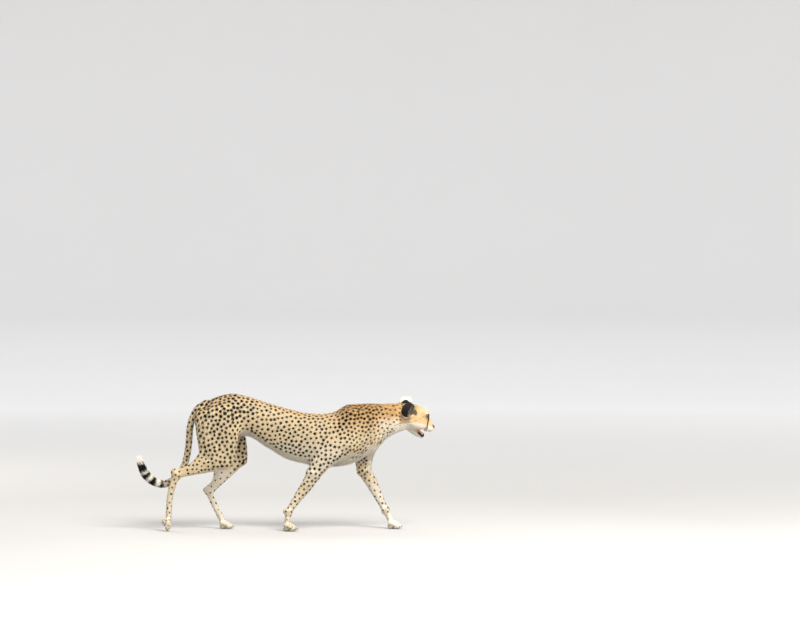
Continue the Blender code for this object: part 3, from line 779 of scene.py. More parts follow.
TAIL_LINE = [row[:3] for row in TAIL_PATH]
LEG_LINES = [[*places[1:], (places[-1][0] + 0.060, places[-1][1], 0.010)] for places in FORE_LEGS]
LEG_LINES += [[*HIND_LEGS[0][:4], (-0.640, RIGHT, 0.000)], [*HIND_LEGS[1][:4], (-0.285, LEFT, 0.010)]]
SPINE = [
    (0.796, 0.032, 0.575), (0.740, 0.020, 0.650), (0.690, 0.012, 0.665), (0.60, 0.006, 0.650),
    (0.36, 0, 0.620), (0.10, 0, 0.560), (-0.30, 0, 0.660), (-0.45, 0, 0.670),
]
UNDERSIDE = [
    (0.740, 0.020, 0.520), (0.640, 0.012, 0.550), (0.480, 0, 0.440), (0.10, 0, 0.380),
    (-0.20, 0, 0.490), (-0.40, 0, 0.560),
]
# The square of how far a line pulls the hair evenly, and the least X of the head's own parts.
LIE_SPREAD = 0.0009
HEAD_ZONE = 0.55


def lie_of_coat(points, normals):
    """The way that the hair lies in the skin's plane: from the nose back, down the legs, along the tail."""
    total = np.zeros_like(points)
    for line in [SPINE, UNDERSIDE, TAIL_LINE, *LEG_LINES]:
        for a, b in zip(line, line[1:]):
            found, _ = segment_distance(points, a, b)
            way = Vector(b) - Vector(a)
            total += np.array(way.normalized()) / ((found**2 + LIE_SPREAD) ** 2)[:, None]
    for y in (-1, 1):
        base, tip, _ = ear_axes(y)
        found, _ = segment_distance(points, base + tip * 0.01, base + tip * 0.06)
        total += np.array(tip) / ((found**2 + LIE_SPREAD) ** 2)[:, None] * 2
    total /= np.linalg.norm(total, axis=1)[:, None] + TINY
    total[:, 2] -= smooth(0.3, 0.9, np.abs(normals[:, 1])) * 0.35 * (points[:, 0] < 0.6)
    total -= normals * (total * normals).sum(1)[:, None]
    return total / (np.linalg.norm(total, axis=1)[:, None] + TINY)


def ear_zones(points, normals):
    """For the ears: all of one, its back, how far up it each point is, and the inside of its hollow."""
    ears, ear_back, ear_up, ear_in = np.zeros((4, len(points)))
    for y in (-1, 1):
        base, tip, facing = ear_axes(y)
        offset = points - np.array(base)
        up, ahead = offset @ np.array(tip), offset @ np.array(facing)
        inside = np.sqrt(
            ((up - 0.026) / EAR_HALF_HEIGHT) ** 2
            + (offset @ np.array(tip.cross(facing)) / EAR_HALF_WIDTH) ** 2
            + (ahead / EAR_HALF_DEPTH) ** 2
        )
        here = smooth(1.22, 1.06, inside) * smooth(-0.014, -0.004, up)
        ear_up = np.where(here > ears, up, ear_up)
        ears = most(ears, here)
        behind = smooth(0.0285, 0.0255, ahead) * smooth(0.90, 0.65, normals @ np.array(facing))
        ear_back = most(ear_back, here * behind)
        hollow = np.array(base + tip * 0.038 + facing * 0.034) - points
        open_way = smooth(0.05, 0.35, (unit(hollow) * normals).sum(1)) * smooth(0.004, 0.012, up)
        ear_in = most(ear_in, open_way * smooth(0.0435, 0.0385, np.linalg.norm(hollow, axis=1)))
    return {"ears": ears, "ear_back": ear_back, "ear_up": ear_up, "ear_in": ear_in}


def zones(points, normals):
    """How much of each part of the body each point is, from 0 to 1, and its places on head, jaw and tail."""
    h = head_place(points)
    tail_far, tail_at = line_distance(points, TAIL_LINE)
    feet, lower = np.zeros((2, len(points)))
    for _, knee, hock, knuckle, toe in LEG_LINES:
        far_upper, t = segment_distance(points, knee, hock)
        far_lower, _ = segment_distance(points, hock, knuckle)
        far_foot, _ = segment_distance(points, knuckle, toe)
        feet = most(feet, smooth(0.065, 0.045, far_foot))
        shank = smooth(0.075, 0.055, far_upper) * smooth(0.0, 0.5, t)
        lower = most(lower, smooth(0.06, 0.045, far_lower), shank)
    front = points[:, 0] > HEAD_ZONE
    return {
        "face": smooth(-0.150, -0.105, h[:, 0]) * front,
        "head": smooth(-0.215, -0.160, h[:, 0]) * front,
        **ear_zones(points, normals),
        "tail": smooth(0.045, 0.034, tail_far) * smooth(1.2, 2.2, tail_at), "tail_at": tail_at,
        "feet": feet, "lower": most(lower, feet),
        "in_head": h, "in_jaw": jaw_place(h), "front": front,
    }


def coat_depth(points, normals, at):
    """The coat's depth: short on face, ears and feet, long on belly, nape, chest and the tail's end."""
    x, y, z = points.T
    trunk_only = (1 - at["lower"]) * (1 - at["tail"])
    belly = smooth(-0.35, -0.9, normals[:, 2]) * smooth(-0.26, -0.20, x) * smooth(0.50, 0.40, x)
    belly *= smooth(0.30, 0.345, z) * smooth(0.075, 0.055, np.abs(y))
    nape = smooth(0.3, 0.9, normals[:, 2]) * smooth(0.26, 0.36, x) * smooth(0.66, 0.58, x)
    chest = smooth(0.42, 0.50, x) * smooth(0.56, 0.48, z) * (1 - at["head"])
    hams = smooth(-0.38, -0.47, x) * smooth(0.45, 0.50, z) * smooth(0.66, 0.60, z) * trunk_only
    depth = np.full(len(points), 0.0038)
    for more, place in ((0.0075, belly), (0.0035, nape), (0.0035, chest)):
        depth += more * place * trunk_only
    depth += 0.0022 * hams
    depth += at["tail"] * (0.0008 + 0.0050 * smooth(9.5, 11.6, at["tail_at"]))
    short = {"lower": 0.0024, "feet": 0.0014, "head": 0.0028, "face": 0.0010, "ears": 0.0008}
    for part, least in short.items():
        depth = toward(depth, least, at[part])
    return depth


# ---------------------------------------------------------------- spots


def inner_leg(points, normals, at):
    """How much each point is on a leg's side towards the other leg."""
    return smooth(-0.2, -0.6, normals[:, 1] * np.sign(points[:, 1])) * at["lower"]


def chest_front(points, normals, at):
    """How much each point is on the pale hair before the shoulders and between the fore legs."""
    x, y, z = points.T
    place = smooth(0.40, 0.46, x) * smooth(0.49, 0.45, z) * smooth(0.28, 0.33, z) * (1 - at["head"])
    return place * (1 - smooth(0.35, 0.75, normals[:, 1]) * (y > 0.02))


def spot_spacing(points, normals, at):
    """The least distance between spot centres."""
    x = points[:, 0]
    spacing = toward(np.full(len(points), 0.0200), 0.0170, smooth(0.24, 0.40, x))
    spacing = toward(spacing, 0.0195, smooth(0.46, 0.54, x))
    spacing = toward(spacing, 0.0195, at["lower"]) + 0.010 * inner_leg(points, normals, at)
    for part, wide in (("feet", 0.0150), ("tail", 0.0185), ("head", 0.0110)):
        spacing = toward(spacing, wide, at[part])
    return spacing


def spotted(points, normals, at):
    """Where spots grow: not on the belly, throat, face or inner legs."""
    z, h = points[:, 2], at["in_head"]
    keep = ~((normals[:, 2] < -0.62) & (at["tail"] < 0.5) & (z > 0.28))
    keep &= ~((at["tail"] > 0.5) & (at["tail_at"] > 7.9))
    on_head = at["head"] > 0.5
    keep &= ~(on_head & (h[:, 0] > -0.058))
    keep &= ~(on_head & (h[:, 2] < -0.070))
    keep &= ~(on_head & (h[:, 0] > -0.085) & (h[:, 2] < 0.010))
    keep &= chest_front(points, normals, at) < 0.6
    return keep & (at["ears"] < 0.2) & (at["ear_in"] < 0.2) & (z > 0.012)


def nearest(points, centres):
    """The number of the centre nearest to each point."""
    tree = KDTree(len(centres))
    for i, centre in enumerate(centres):
        tree.insert(centre, i)
    tree.balance()
    return np.fromiter((tree.find(p)[1] for p in points), int, len(points))


def nearest_spot(points, centres, radii):
    """For each point its spot's centre and radius."""
    number = nearest(points, centres)
    return centres[number], radii[number]


def evenly(centres, places):
    """Move each centre, a few times, towards the middle of the places nearest to it."""
    for _ in range(4):
        number = nearest(places, centres)
        share = np.bincount(number, minlength=len(centres))[:, None]
        total = np.stack([np.bincount(number, places[:, k], len(centres)) for k in range(3)], 1)
        centres = np.where(share > 3, centres * 0.4 + total / np.maximum(share, 1) * 0.6, centres)
    return centres


# Places in the head's axes on its left side, from the eye down to the lip and from the eye back to the neck.
TEAR_LINE = [
    (-0.0585, 0.0290, 0.0385), (-0.0510, 0.0240, 0.027), (-0.047, 0.0260, 0.010), (-0.044, 0.0300, -0.009),
    (-0.041, 0.0320, -0.026), (-0.046, 0.0320, -0.036),
]
CHEEK_LINE = [
    (-0.086, 0.040, 0.032), (-0.096, 0.050, 0.019), (-0.107, 0.058, 0.004), (-0.127, 0.062, -0.014),
    (-0.151, 0.058, -0.033), (-0.188, 0.052, -0.056), (-0.214, 0.052, -0.086),
]
CHEEK_STEP, CHEEK_GAP = 0.0115, 0.0075
CELL = 0.025


def cheek_spots(at):
    """The skin's points nearest to evenly spaced places on the line over each cheek."""
    h, line = at["in_head"], np.array(CHEEK_LINE)
    far = np.append(0, np.cumsum(np.linalg.norm(np.diff(line, axis=0), axis=1)))
    found = []
    for along_line in np.arange(0.002, far[-1], CHEEK_STEP):
        x, z = (np.interp(along_line, far, line[:, k]) for k in (0, 2))
        for side in (-1, 1):
            away = np.hypot(h[:, 0] - x, h[:, 2] - z) + (h[:, 1] * side < 0.025)
            found.append(away.argmin())
    return found


def thrown(points, order, spacing):
    """The points that stand at least their own spacing from all points taken before them, in this order."""
    kept, cells = [], {}
    for i in order:
        a, b, c = (int(v) for v in np.floor(points[i] / CELL))
        near_by = [
            j for u in (a - 1, a, a + 1) for v in (b - 1, b, b + 1) for w in (c - 1, c, c + 1)
            for j in cells.get((u, v, w), ())
        ]
        if near_by and (((points[near_by] - points[i]) ** 2).sum(1) < spacing[i] * spacing[i]).any():
            continue
        kept.append(i)
        cells.setdefault((a, b, c), []).append(i)
    return kept


def grow_spots(points, normals):
    """Centres and radii of spots, well apart from each other, from the skin's own points in a mixed order."""
    at = zones(points, normals)
    spacing, allowed = spot_spacing(points, normals, at), spotted(points, normals, at)
    cheeks = cheek_spots(at)
    spacing[cheeks] = CHEEK_GAP
    kept = thrown(points, [*cheeks, *RNG.permutation(np.flatnonzero(allowed))], spacing)
    fixed = len(set(cheeks) & set(kept))
    centres = points[kept]
    centres = np.vstack([centres[:fixed], evenly(centres, points[allowed])[fixed:]])
    x, _, z = centres.T
    inner = inner_leg(points, normals, at)[kept]
    at = zones(centres, np.zeros_like(centres))
    radii = spacing[kept] * RNG.uniform(0.31, 0.41, len(kept))
    radii *= 1 - 0.18 * at["lower"] - 0.22 * at["head"] - 0.12 * at["feet"]
    radii *= 1 - 0.22 * smooth(0.42, 0.54, x) * (1 - at["lower"])
    radii *= 1 - 0.45 * inner
    rump = 0.10 + 0.20 * smooth(0.58, 0.64, z)
    radii *= 1 + rump * smooth(-0.12, -0.28, x) * (1 - most(at["lower"], at["tail"]))
    radii *= 1 + 0.28 * smooth(0.24, 0.32, x) * smooth(0.52, 0.60, z) * (x < 0.52)
    radii[:fixed] = RNG.uniform(0.0026, 0.0037, fixed)
    return centres, radii


# ---------------------------------------------------------------- markings

# Stretches of black on the tail, counted in the rows of its path, and how softly they end.
TAIL_RINGS = [(7.98, 8.30), (8.72, 9.24), (9.58, 10.06), (10.26, 11.32)]
RING_EDGE = 0.07


def dark_lines(h, side):
    """The black stripe from an eye down to the mouth, its dark lids, and the whiskers' dark roots."""
    mirrored = h * (1, side, 1)
    x, y, z = mirrored.T
    tear, along_tear = line_distance(mirrored, TEAR_LINE)
    width = 0.0048 + 0.0020 * smooth(1.8, 0.6, along_tear) + 0.0022 * smooth(3.0, 4.2, along_tear)
    stripe = smooth(width + 0.0012, width - 0.0010, tear)
    offset = mirrored - (-EYE_BACK, EYE_OUT, EYE_UP)
    look, across = (np.array(Vector(v).normalized()) for v in (EYE_LOOK, EYE_ACROSS))
    rim = np.hypot(offset @ across / 0.0158, offset @ np.cross(look, across) / 0.0112)
    lids = smooth(1.08, 0.94, rim) * smooth(0.0, 0.006, offset @ look)
    roots = [np.hypot(x - root[0], z - root[2]) for *_, root in whisker_places()]
    dots = smooth(0.0016, 0.0009, np.minimum(1.0, np.min(roots, axis=0))) * (y > 0.012) * 0.7
    return most(stripe, lids, dots)


def mouth_marks(at, h_normals):
    """Black lips, and pink on the tongue, palate and inner cheeks."""
    front = at["front"]
    (x, y, z), (jaw_x, jaw_y, jaw_z) = at["in_head"].T, at["in_jaw"].T
    in_wedge = smooth(-0.118, -0.108, x) * (z < -0.022) * front
    lip_end = -0.0415 - 0.0105 * smooth(0.0065, 0.0120, np.abs(jaw_y))
    jaw_side = smooth(-0.071, -0.063, jaw_x) * smooth(lip_end - 0.003, lip_end + 0.003, jaw_z)
    jaw_side *= smooth(-0.020, -0.026, jaw_z) * (z < -0.045)
    inner = (np.abs(jaw_y) < 0.0150) & (jaw_x < -0.036) & (jaw_z > -0.046) & (h_normals[:, 2] > 0.1)
    roof = (np.abs(y) < 0.021) & (h_normals[:, 2] < -0.3) & (x < -0.022) & (z > -0.055)
    cheek = smooth(-0.048, -0.056, x) * smooth(-0.096, -0.084, x) * smooth(-0.024, -0.036, z)
    cheek *= smooth(-0.064, -0.054, z) * front
    pink = most(in_wedge * (inner | roof), cheek * 0.55)
    upper_lip = smooth(-0.0325, -0.0355, z) * smooth(-0.080, -0.070, x) * (z > -0.050) * front
    return most(jaw_side * front, upper_lip * 0.85) * (1 - pink), pink


def nose_marks(at):
    """The bare nose pad, and the dark groove below it."""
    x, y, z = at["in_head"].T
    half = 0.0165 - 0.0095 * smooth(-0.007, -0.018, z)
    nose = smooth(-0.0160, -0.0130, x) * smooth(-0.0200, -0.0175, z) * at["front"]
    nose *= smooth(half, half - 0.002, np.abs(y))
    groove = smooth(0.0018, 0.0008, np.abs(y)) * smooth(-0.040, -0.036, z) * smooth(-0.020, -0.012, x)
    return nose, groove * (z < -0.015) * at["front"] * 0.9


def pale_marks(points, normals, at):
    """Where the fur is cream to white: underside, inner legs, throat, cheeks, chin, ears and tail end."""
    x, _, z = points.T
    h, up, tail_at = at["in_head"], normals[:, 2], at["tail_at"]
    body_only = (1 - at["tail"]) * (1 - at["ears"])
    under = smooth(-0.40, -0.85, up) * smooth(0.30, 0.36, z)
    flank = smooth(0.52, 0.42, z) * smooth(-0.26, -0.16, x) * smooth(0.36, 0.26, x) * (1 - at["lower"])
    neck_side = smooth(0.46, 0.54, x) * smooth(0.63, 0.58, z) * (1 - at["head"])
    throat_top = 0.578 + 0.10 * (x - 0.60)
    throat = smooth(0.47, 0.60, x) * smooth(throat_top + 0.012, throat_top - 0.014, z) * (1 - at["face"])
    cheek_z = np.interp(h[:, 0], [-0.21, -0.127, -0.09, -0.06], [-0.080, -0.016, -0.004, -0.004])
    cheek = smooth(cheek_z + 0.003, cheek_z - 0.010, h[:, 2]) * at["head"]
    muzzle = smooth(-0.060, -0.040, h[:, 0]) * smooth(-0.006, -0.018, h[:, 2]) * at["head"]
    chin = smooth(-0.040, -0.048, at["in_jaw"][:, 2]) * at["face"]
    brow_far, _ = line_distance(h * (1, 0, 1), [(-0.060, 0, 0.055), (-0.080, 0, 0.058)])
    return most(
        under * body_only,
        flank * body_only * 0.55,
        neck_side * 0.55,
        inner_leg(points, normals, at) * 0.75,
        at["lower"] * smooth(0.30, 0.12, z) * 0.50,
        chest_front(points, normals, at) * 0.9,
        throat * 0.95,
        cheek * 0.85,
        muzzle * 0.8,
        chin,
        smooth(0.012, 0.005, brow_far) * at["face"] * 0.3,
        at["tail"] * smooth(7.6, 8.0, tail_at),
        at["tail"] * smooth(0.1, -0.5, up) * 0.5,
        at["ears"] * 0.85,
    )


def warm_marks(points, normals, at):
    """Where the fur is gold: the shoulders, the back and the top of the head."""
    x, _, z = points.T
    saddle = smooth(0.18, 0.36, x) * smooth(0.50, 0.64, z)
    back = smooth(0.45, 0.95, normals[:, 2]) * 0.45
    warm = most(most(saddle * 0.85, back) * (1 - at["tail"] * 0.6), at["head"] * 0.45)
    return warm + (0.50 - warm) * at["face"] * smooth(0.0, 0.03, at["in_head"][:, 2])


def black_marks(points, at):
    """Tail rings, tear stripes, lids and the ears' backs. The far ear is black at its base only."""
    tail_at = at["tail_at"]
    rings = [
        smooth(start - RING_EDGE, start + RING_EDGE, tail_at)
        * smooth(end + RING_EDGE, end - RING_EDGE, tail_at)
        for start, end in TAIL_RINGS
    ]
    lines = [dark_lines(at["in_head"], side) for side in (-1, 1)]
    ear_end = np.where(points[:, 1] < 0.02, 0.080, 0.030)
    ear_black = at["ear_back"] * smooth(ear_end + 0.004, ear_end - 0.003, at["ear_up"])
    ear_black = ear_black * smooth(-0.012, -0.003, at["ear_up"])
    return most(most(*rings) * at["tail"], most(*lines) * at["head"], ear_black)


def markings(points, normals, at):
    """Weights of the colours: gold and pale fur, dim fur that is partly painted shade, bare pink skin and the
    black that isn't spots.
    """
    lips, pink = mouth_marks(at, normals @ np.array(HEAD.to_3x3()))
    nose, groove = nose_marks(at)
    pale = pale_marks(points, normals, at)
    marks = {
        "pale": pale,
        "warm": warm_marks(points, normals, at) * (1 - pale),
        "black": most(black_marks(points, at), groove, lips, nose) * (1 - pink),
        "pink": pink,
        # The dim colour is painted shade in the ear hollows and on the feet, and darkens the face and ears;
        # on the face it is partly the face's own tan and partly painted shade for its thin coat.
        "dim_and_painted_shade": most(at["ear_in"] * at["front"], at["face"] * 0.33, at["feet"] * 0.24, at["ears"] * 0.30),
        "bare": most(nose, pink),
    }
    return {key: np.clip(values, 0, 1) for key, values in marks.items()}


# ---------------------------------------------------------------- skin


def split_faces(obj, chosen):
    """Divide the faces whose middle is chosen into four."""
    form = bmesh.new()
    form.from_mesh(obj.data)
    flags = chosen(np.array([f.calc_center_median() for f in form.faces]))
    edges = {edge for face, flag in zip(form.faces, flags) if flag for edge in face.edges}
    bmesh.ops.subdivide_edges(form, edges=list(edges), cuts=1, use_grid_fill=True)
    form.to_mesh(obj.data)
    form.free()


def in_front(points, limit):
    return (head_place(points)[:, 0] > limit) & (points[:, 0] > HEAD_ZONE)


def on_foot(points):
    return zones(points, np.zeros_like(points))["feet"] > 0.3


def sharpen(obj, chosen, rounds):
    """Pull the chosen part of the skin onto the finely detailed form."""
    groups = fine_body()
    points = corners(obj)
    some = np.flatnonzero(chosen(points))
    for _ in range(rounds):
        points[some] = pulled(points[some], groups, 1, 0.0002, 0.004)
        points[some] = points[some] * 0.6 + neighbour_mean(obj, points)[some] * 0.4
    points[some] = pulled(points[some], groups, 2, 0.0002, 0.002)
    place_corners(obj, points)


def make_skin():
    obj = blended_body(BODY)
    obj.name = obj.data.name = "skin"
    split_faces(obj, lambda p: in_front(p, -0.22) | on_foot(p))
    split_faces(obj, lambda p: in_front(p, -0.125))
    sharpen(obj, lambda p: in_front(p, -0.24) | on_foot(p), 7)
    points, normals = corners(obj), corner_normals(obj)
    depth = coat_depth(points, normals, zones(points, normals))[:, None]
    for _ in range(3):
        depth = (depth + neighbour_mean(obj, depth)) / 2
    points = points - normals * depth
    points[:, 2] = np.maximum(points[:, 2], 0)
    place_corners(obj, points)
    obj.data.shade_smooth()
    return obj


# ---------------------------------------------------------------- coat


def tuft_roots(obj, density):
    """Random places on the skin, about density(corners) to each square metre: their faces and weights."""
    obj.data.calc_loop_triangles()
    tri = read(obj.data.loop_triangles, "vertices", 3, int)
    a, b, c = (corners(obj)[tri[:, k]] for k in range(3))
    wanted = np.linalg.norm(np.cross(b - a, c - a), axis=1) / 2 * density[tri].mean(1)
    count = np.floor(wanted + RNG.random(len(wanted))).astype(int)
    face = np.repeat(np.arange(len(tri)), count)
    u, v = RNG.random((2, len(face)))
    over = u + v > 1
    u[over], v[over] = 1 - u[over], 1 - v[over]
    return tri[face], np.stack([1 - u - v, u, v], 1)


def mixed(values, tri, weights):
    """Values on the corners of faces, mixed by the weights of a place on each face."""
    if values.ndim == 2:
        return (values[tri] * weights[:, :, None]).sum(1)
    return (values[tri] * weights).sum(1)


def box_unwrap(points, normals):
    """A cube unwrap: six charts, one for each way that the skin faces, side by side on one square."""
    low = points.min(0)
    scale = 0.32 / (points.max(0) - low).max()
    axis = np.abs(normals).argmax(1)
    chart = axis * 2 + (normals[np.arange(len(points)), axis] > 0)
    offset = points - low
    flat = np.where((axis == 0)[:, None], offset[:, [1, 2]], offset[:, [0, 2]])
    flat = np.where((axis == 2)[:, None], offset[:, [0, 1]], flat)
    return flat * scale + 0.005 + np.stack([chart % 3 * 0.333, chart // 3 * 0.45], 1)


# A tuft's faces, from its left, right and upper corner at the root and its tip, and its corners' places
# in the unwrap.
SPIKE_FACES = np.array([[0, 2, 3], [2, 1, 3], [1, 0, 3], [0, 1, 2]])
SPIKE_UV = np.array([[-0.0015, 0], [0.0015, 0], [0, 0.0008], [0, 0.003]])


def tufts(name, roots, normals, lie, length, width, lift):
    """One mesh of thin closed spikes, each with three corners at its root and one at its tip."""
    side = unit(np.cross(normals, lie))
    turn = RNG.normal(0, 0.16, len(roots))[:, None]
    lie = unit(lie * np.cos(turn) + side * np.sin(turn))
    side = unit(np.cross(normals, lie)) * width[:, None] / 2
    rise, run = np.sin(lift)[:, None], np.cos(lift)[:, None]
    start = roots - normals * ROOT_DEPTH
    ridge = (normals * run - lie * rise) * np.maximum(width * 0.22, 0.0002)[:, None]
    tip = start + length[:, None] * (lie * run + normals * rise)
    tip[:, 2] = np.maximum(tip[:, 2], 0.0002)
    places = np.stack([start - side, start + side, start + ridge, tip], 1).reshape(-1, 3)
    places[:, 2] = np.maximum(places[:, 2], 0)
    index = (SPIKE_FACES[None] + np.arange(len(roots))[:, None, None] * 4).reshape(-1)
    mesh = bpy.data.meshes.new(name)
    mesh.vertices.add(len(places))
    mesh.loops.add(len(index))
    mesh.polygons.add(len(index) // 3)
    mesh.vertices.foreach_set("co", places.ravel())
    mesh.loops.foreach_set("vertex_index", index)
    mesh.polygons.foreach_set("loop_start", np.arange(0, len(index), 3))
    mesh.update(calc_edges=True)
    uv = box_unwrap(roots, normals)[:, None] + SPIKE_UV[None]
    mesh.uv_layers.new(name="OFBake").data.foreach_set("uv", uv.reshape(-1, 2)[index].ravel())
    return new_object(name, mesh)


# The places along X where one piece of the coat ends and the next starts.
REGION_EDGES = [-0.56, -0.40, -0.30, -0.12, 0.10, 0.30, 0.44, 0.60, 0.645, 0.70]


def make_coat(skin, spots):
    """The coat's pieces, one for each stretch of the body. Nose, mouth and soles stay bare."""
    points, normals = corners(skin), corner_normals(skin)
    at = zones(points, normals)
    marks = markings(points, normals, at)
    bare = most(marks.pop("bare"), smooth(0.35, 0.6, marks["dim_and_painted_shade"]) * 0.7, (points[:, 2] < 0.004) * 1.0)
    depth = coat_depth(points, normals, at)
    long = LENGTH_TO_DEPTH * depth + LEAST_LENGTH
    wide = np.clip(long * WIDTH_TO_LENGTH, LEAST_WIDTH, MOST_WIDTH)
    cover = COVER * (1 - 0.35 * at["face"] - 0.35 * at["feet"])
    tri, weights = tuft_roots(skin, cover / (long * wide * 0.5) * (1 - bare))
    root, normal = mixed(points, tri, weights), unit(mixed(normals, tri, weights))
    way = unit(mixed(lie_of_coat(points, normals), tri, weights))
    length, width, rise = (
        mixed(values, tri, weights) * RNG.uniform(low, high, len(root))
        for values, low, high in ((long, 0.75, 1.15), (wide, 0.8, 1.2), (depth, 0.45, 1.0))
    )
    lift = np.arcsin(np.clip(rise / length, 0.02, 0.6))
    middle = root + way * length[:, None] * 0.45
    centre, radius = nearest_spot(middle, *spots)
    spot = np.linalg.norm(middle - centre, axis=1) / radius
    marks = {key: mixed(values, tri, weights) for key, values in marks.items()}
    marks["spot"] = smooth(1.12, 0.92, spot + RNG.normal(0, 0.05, len(root)))
    marks["shade"] = RNG.random(len(root))
    region = np.digitize(root[:, 0], REGION_EDGES)
    pieces = []
    for number in np.unique(region):
        here = region == number
        obj = tufts(f"coat_{number}", *(v[here] for v in (root, normal, way, length, width, lift)))
        for key, values in marks.items():
            put(obj, key, np.repeat(values[here], 4))
        pieces.append(obj)
    return pieces


# ---------------------------------------------------------------- eyes, claws, teeth and whiskers


def tubes(name, paths, sides):
    """One mesh of closed tapering tubes. Each path is a list of (place, radius)."""
    form = bmesh.new()
    for path in paths:
        rings = []
        for i, (place, radius) in enumerate(path):
            ahead = (path[min(i + 1, len(path) - 1)][0] - path[max(i - 1, 0)][0]).normalized()
            side = ahead.cross(Vector((0.31, 0.52, 0.79))).normalized()
            turns = (Matrix.Rotation(2 * math.pi * k / sides, 3, ahead) for k in range(sides))
            rings.append([form.verts.new(place + turn @ side * radius) for turn in turns])
        join_rings(form, rings)
        form.faces.new(rings[0])
        form.faces.new(rings[-1][::-1])
    bmesh.ops.recalc_face_normals(form, faces=form.faces)
    return finished(name, form)


def hooked(root, tip, up, radius, bend, steps=7, least=0.0003):
    """A tapering path from root to tip that bows towards up, as a claw or a tooth does."""
    path = []
    for i in range(steps + 1):
        t = i / steps
        path.append((root.lerp(tip, t) + up * bend * 4 * t * (1 - t), radius * (1 - t) ** 0.8 + least))
    return path


def make_claws():
    paths = [hooked(root, tip, up, 0.0034, 0.0035) for root, tip, up in CLAWS]
    for place, radius in (row for path in paths for row in path):
        place.z = max(place.z, radius)
    return tubes("claws", paths, 8)


def make_teeth():
    """Canines and a row of small incisors in each jaw."""
    down, back = turned(0, 0, -1), turned(-1, 0, 0)
    paths = []
    for y in (-1, 1):
        root = in_head(-0.030, y * 0.0125, -0.0310)
        paths.append(hooked(root, root + down * 0.0155 + back * 0.002, -back, 0.0026, 0.0012))
        root, tip = in_jaw(-0.043, y * 0.0095, -0.0385), in_jaw(-0.043, y * 0.0105, -0.0275)
        paths.append(hooked(root, tip, -back, 0.0022, 0.0010))
        for i in range(3):
            root = in_head(-0.0235, y * (0.0016 + 0.0031 * i), -0.0330)
            paths.append(hooked(root, root + down * 0.0040, -back, 0.0015, 0.0003, 4))
            root, tip = (in_jaw(-0.0385, y * (0.0014 + 0.0026 * i), z) for z in (-0.0365, -0.0315))
            paths.append(hooked(root, tip, -back, 0.0013, 0.0003, 4))
    return tubes("teeth", paths, 8)


EAR_HAIRS = 160


def make_whiskers():
    """Whiskers on each pad, a few long hairs over each eye, and a pale fringe in each ear."""
    paths = []
    for y in (-1, 1):
        for row, i, (x, out, z) in whisker_places():
            root = in_head(x, y * (out - 0.002), z)
            way = turned(-0.38 - 0.06 * i, 0.92 * y, -0.26 - 0.12 * row)
            tip = root + way * RNG.uniform(0.040, 0.066)
            paths.append(hooked(root, tip, turned(0, 0.3 * y, 0.9), 0.00032, 0.004, least=0.00010))
        for i in range(3):
            root = in_head(-0.070 - 0.004 * i, y * (0.034 + 0.002 * i), 0.058)
            tip = root + turned(-0.6, 0.45 * y, 0.65) * RNG.uniform(0.022, 0.032)
            paths.append(hooked(root, tip, turned(1, 0, 0), 0.00025, 0.003, least=0.00010))
        base, ear_tip, facing = ear_axes(y)
        inward = ear_tip.cross(facing) * (1 if ear_tip.cross(facing).y * y < 0 else -1)
        for _ in range(EAR_HAIRS):
            up = RNG.uniform(0.006, 0.054)
            out = (EAR_HALF_WIDTH - 0.006) * math.sqrt(max(0, 1 - ((up - 0.034) / 0.036) ** 2))
            root = base + ear_tip * up + inward * out + facing * RNG.uniform(0.012, 0.022)
            way = ear_tip * 0.75 - inward * RNG.uniform(0.2, 0.8) + facing * RNG.uniform(0.0, 0.3)
            tip = root + way.normalized() * RNG.uniform(0.010, 0.022)
            paths.append(hooked(root, tip, facing, 0.00022, 0.0008, 3, 0.00008))
    return tubes("whiskers", paths, 4)


def make_eye(name, y):
    """A ball with a low bulge over the iris. Its corners store their places across, up and along its gaze."""
    form = bmesh.new()
    bmesh.ops.create_uvsphere(form, u_segments=48, v_segments=32, radius=1)
    places = np.array([v.co for v in form.verts])
    look, across, above = eye_axes(y)
    bulge = EYE_RADIUS + 0.0009 * smooth(0.62, 1.0, places[:, 2])
    obj = finished(name, form)
    put(obj, "seen", places)
    place_corners(obj, np.array(eye_place(y)) + places * bulge[:, None] @ np.array([across, above, look]))
    return obj


# ---------------------------------------------------------------- materials

GOLD = (0.68, 0.40, 0.15)
CREAM = (0.88, 0.72, 0.47)
PALE = (0.90, 0.84, 0.73)
# Dark olive for painted shade in the ear hollows and on the feet, and for the darker face and ears.
DIM_AND_SHADE = (0.10, 0.075, 0.035)
PINK = (0.72, 0.34, 0.22)
BLACK = (0.006, 0.005, 0.0045)
# The eye's colours by the distance from its middle, in radii of the ball: pupil, iris, rim and white.
# The iris's amber is made darker than its own colour, as painted shade over the eye.
IRIS = [
    (0.30, (0.004, 0.003, 0.003)), (0.33, (0.10, 0.04, 0.010)), (0.44, (0.28, 0.12, 0.022)),
    (0.60, (0.38, 0.19, 0.045)), (0.70, (0.12, 0.055, 0.02)), (0.77, (0.012, 0.008, 0.007)),
    (1.0, (0.05, 0.035, 0.025)),
]


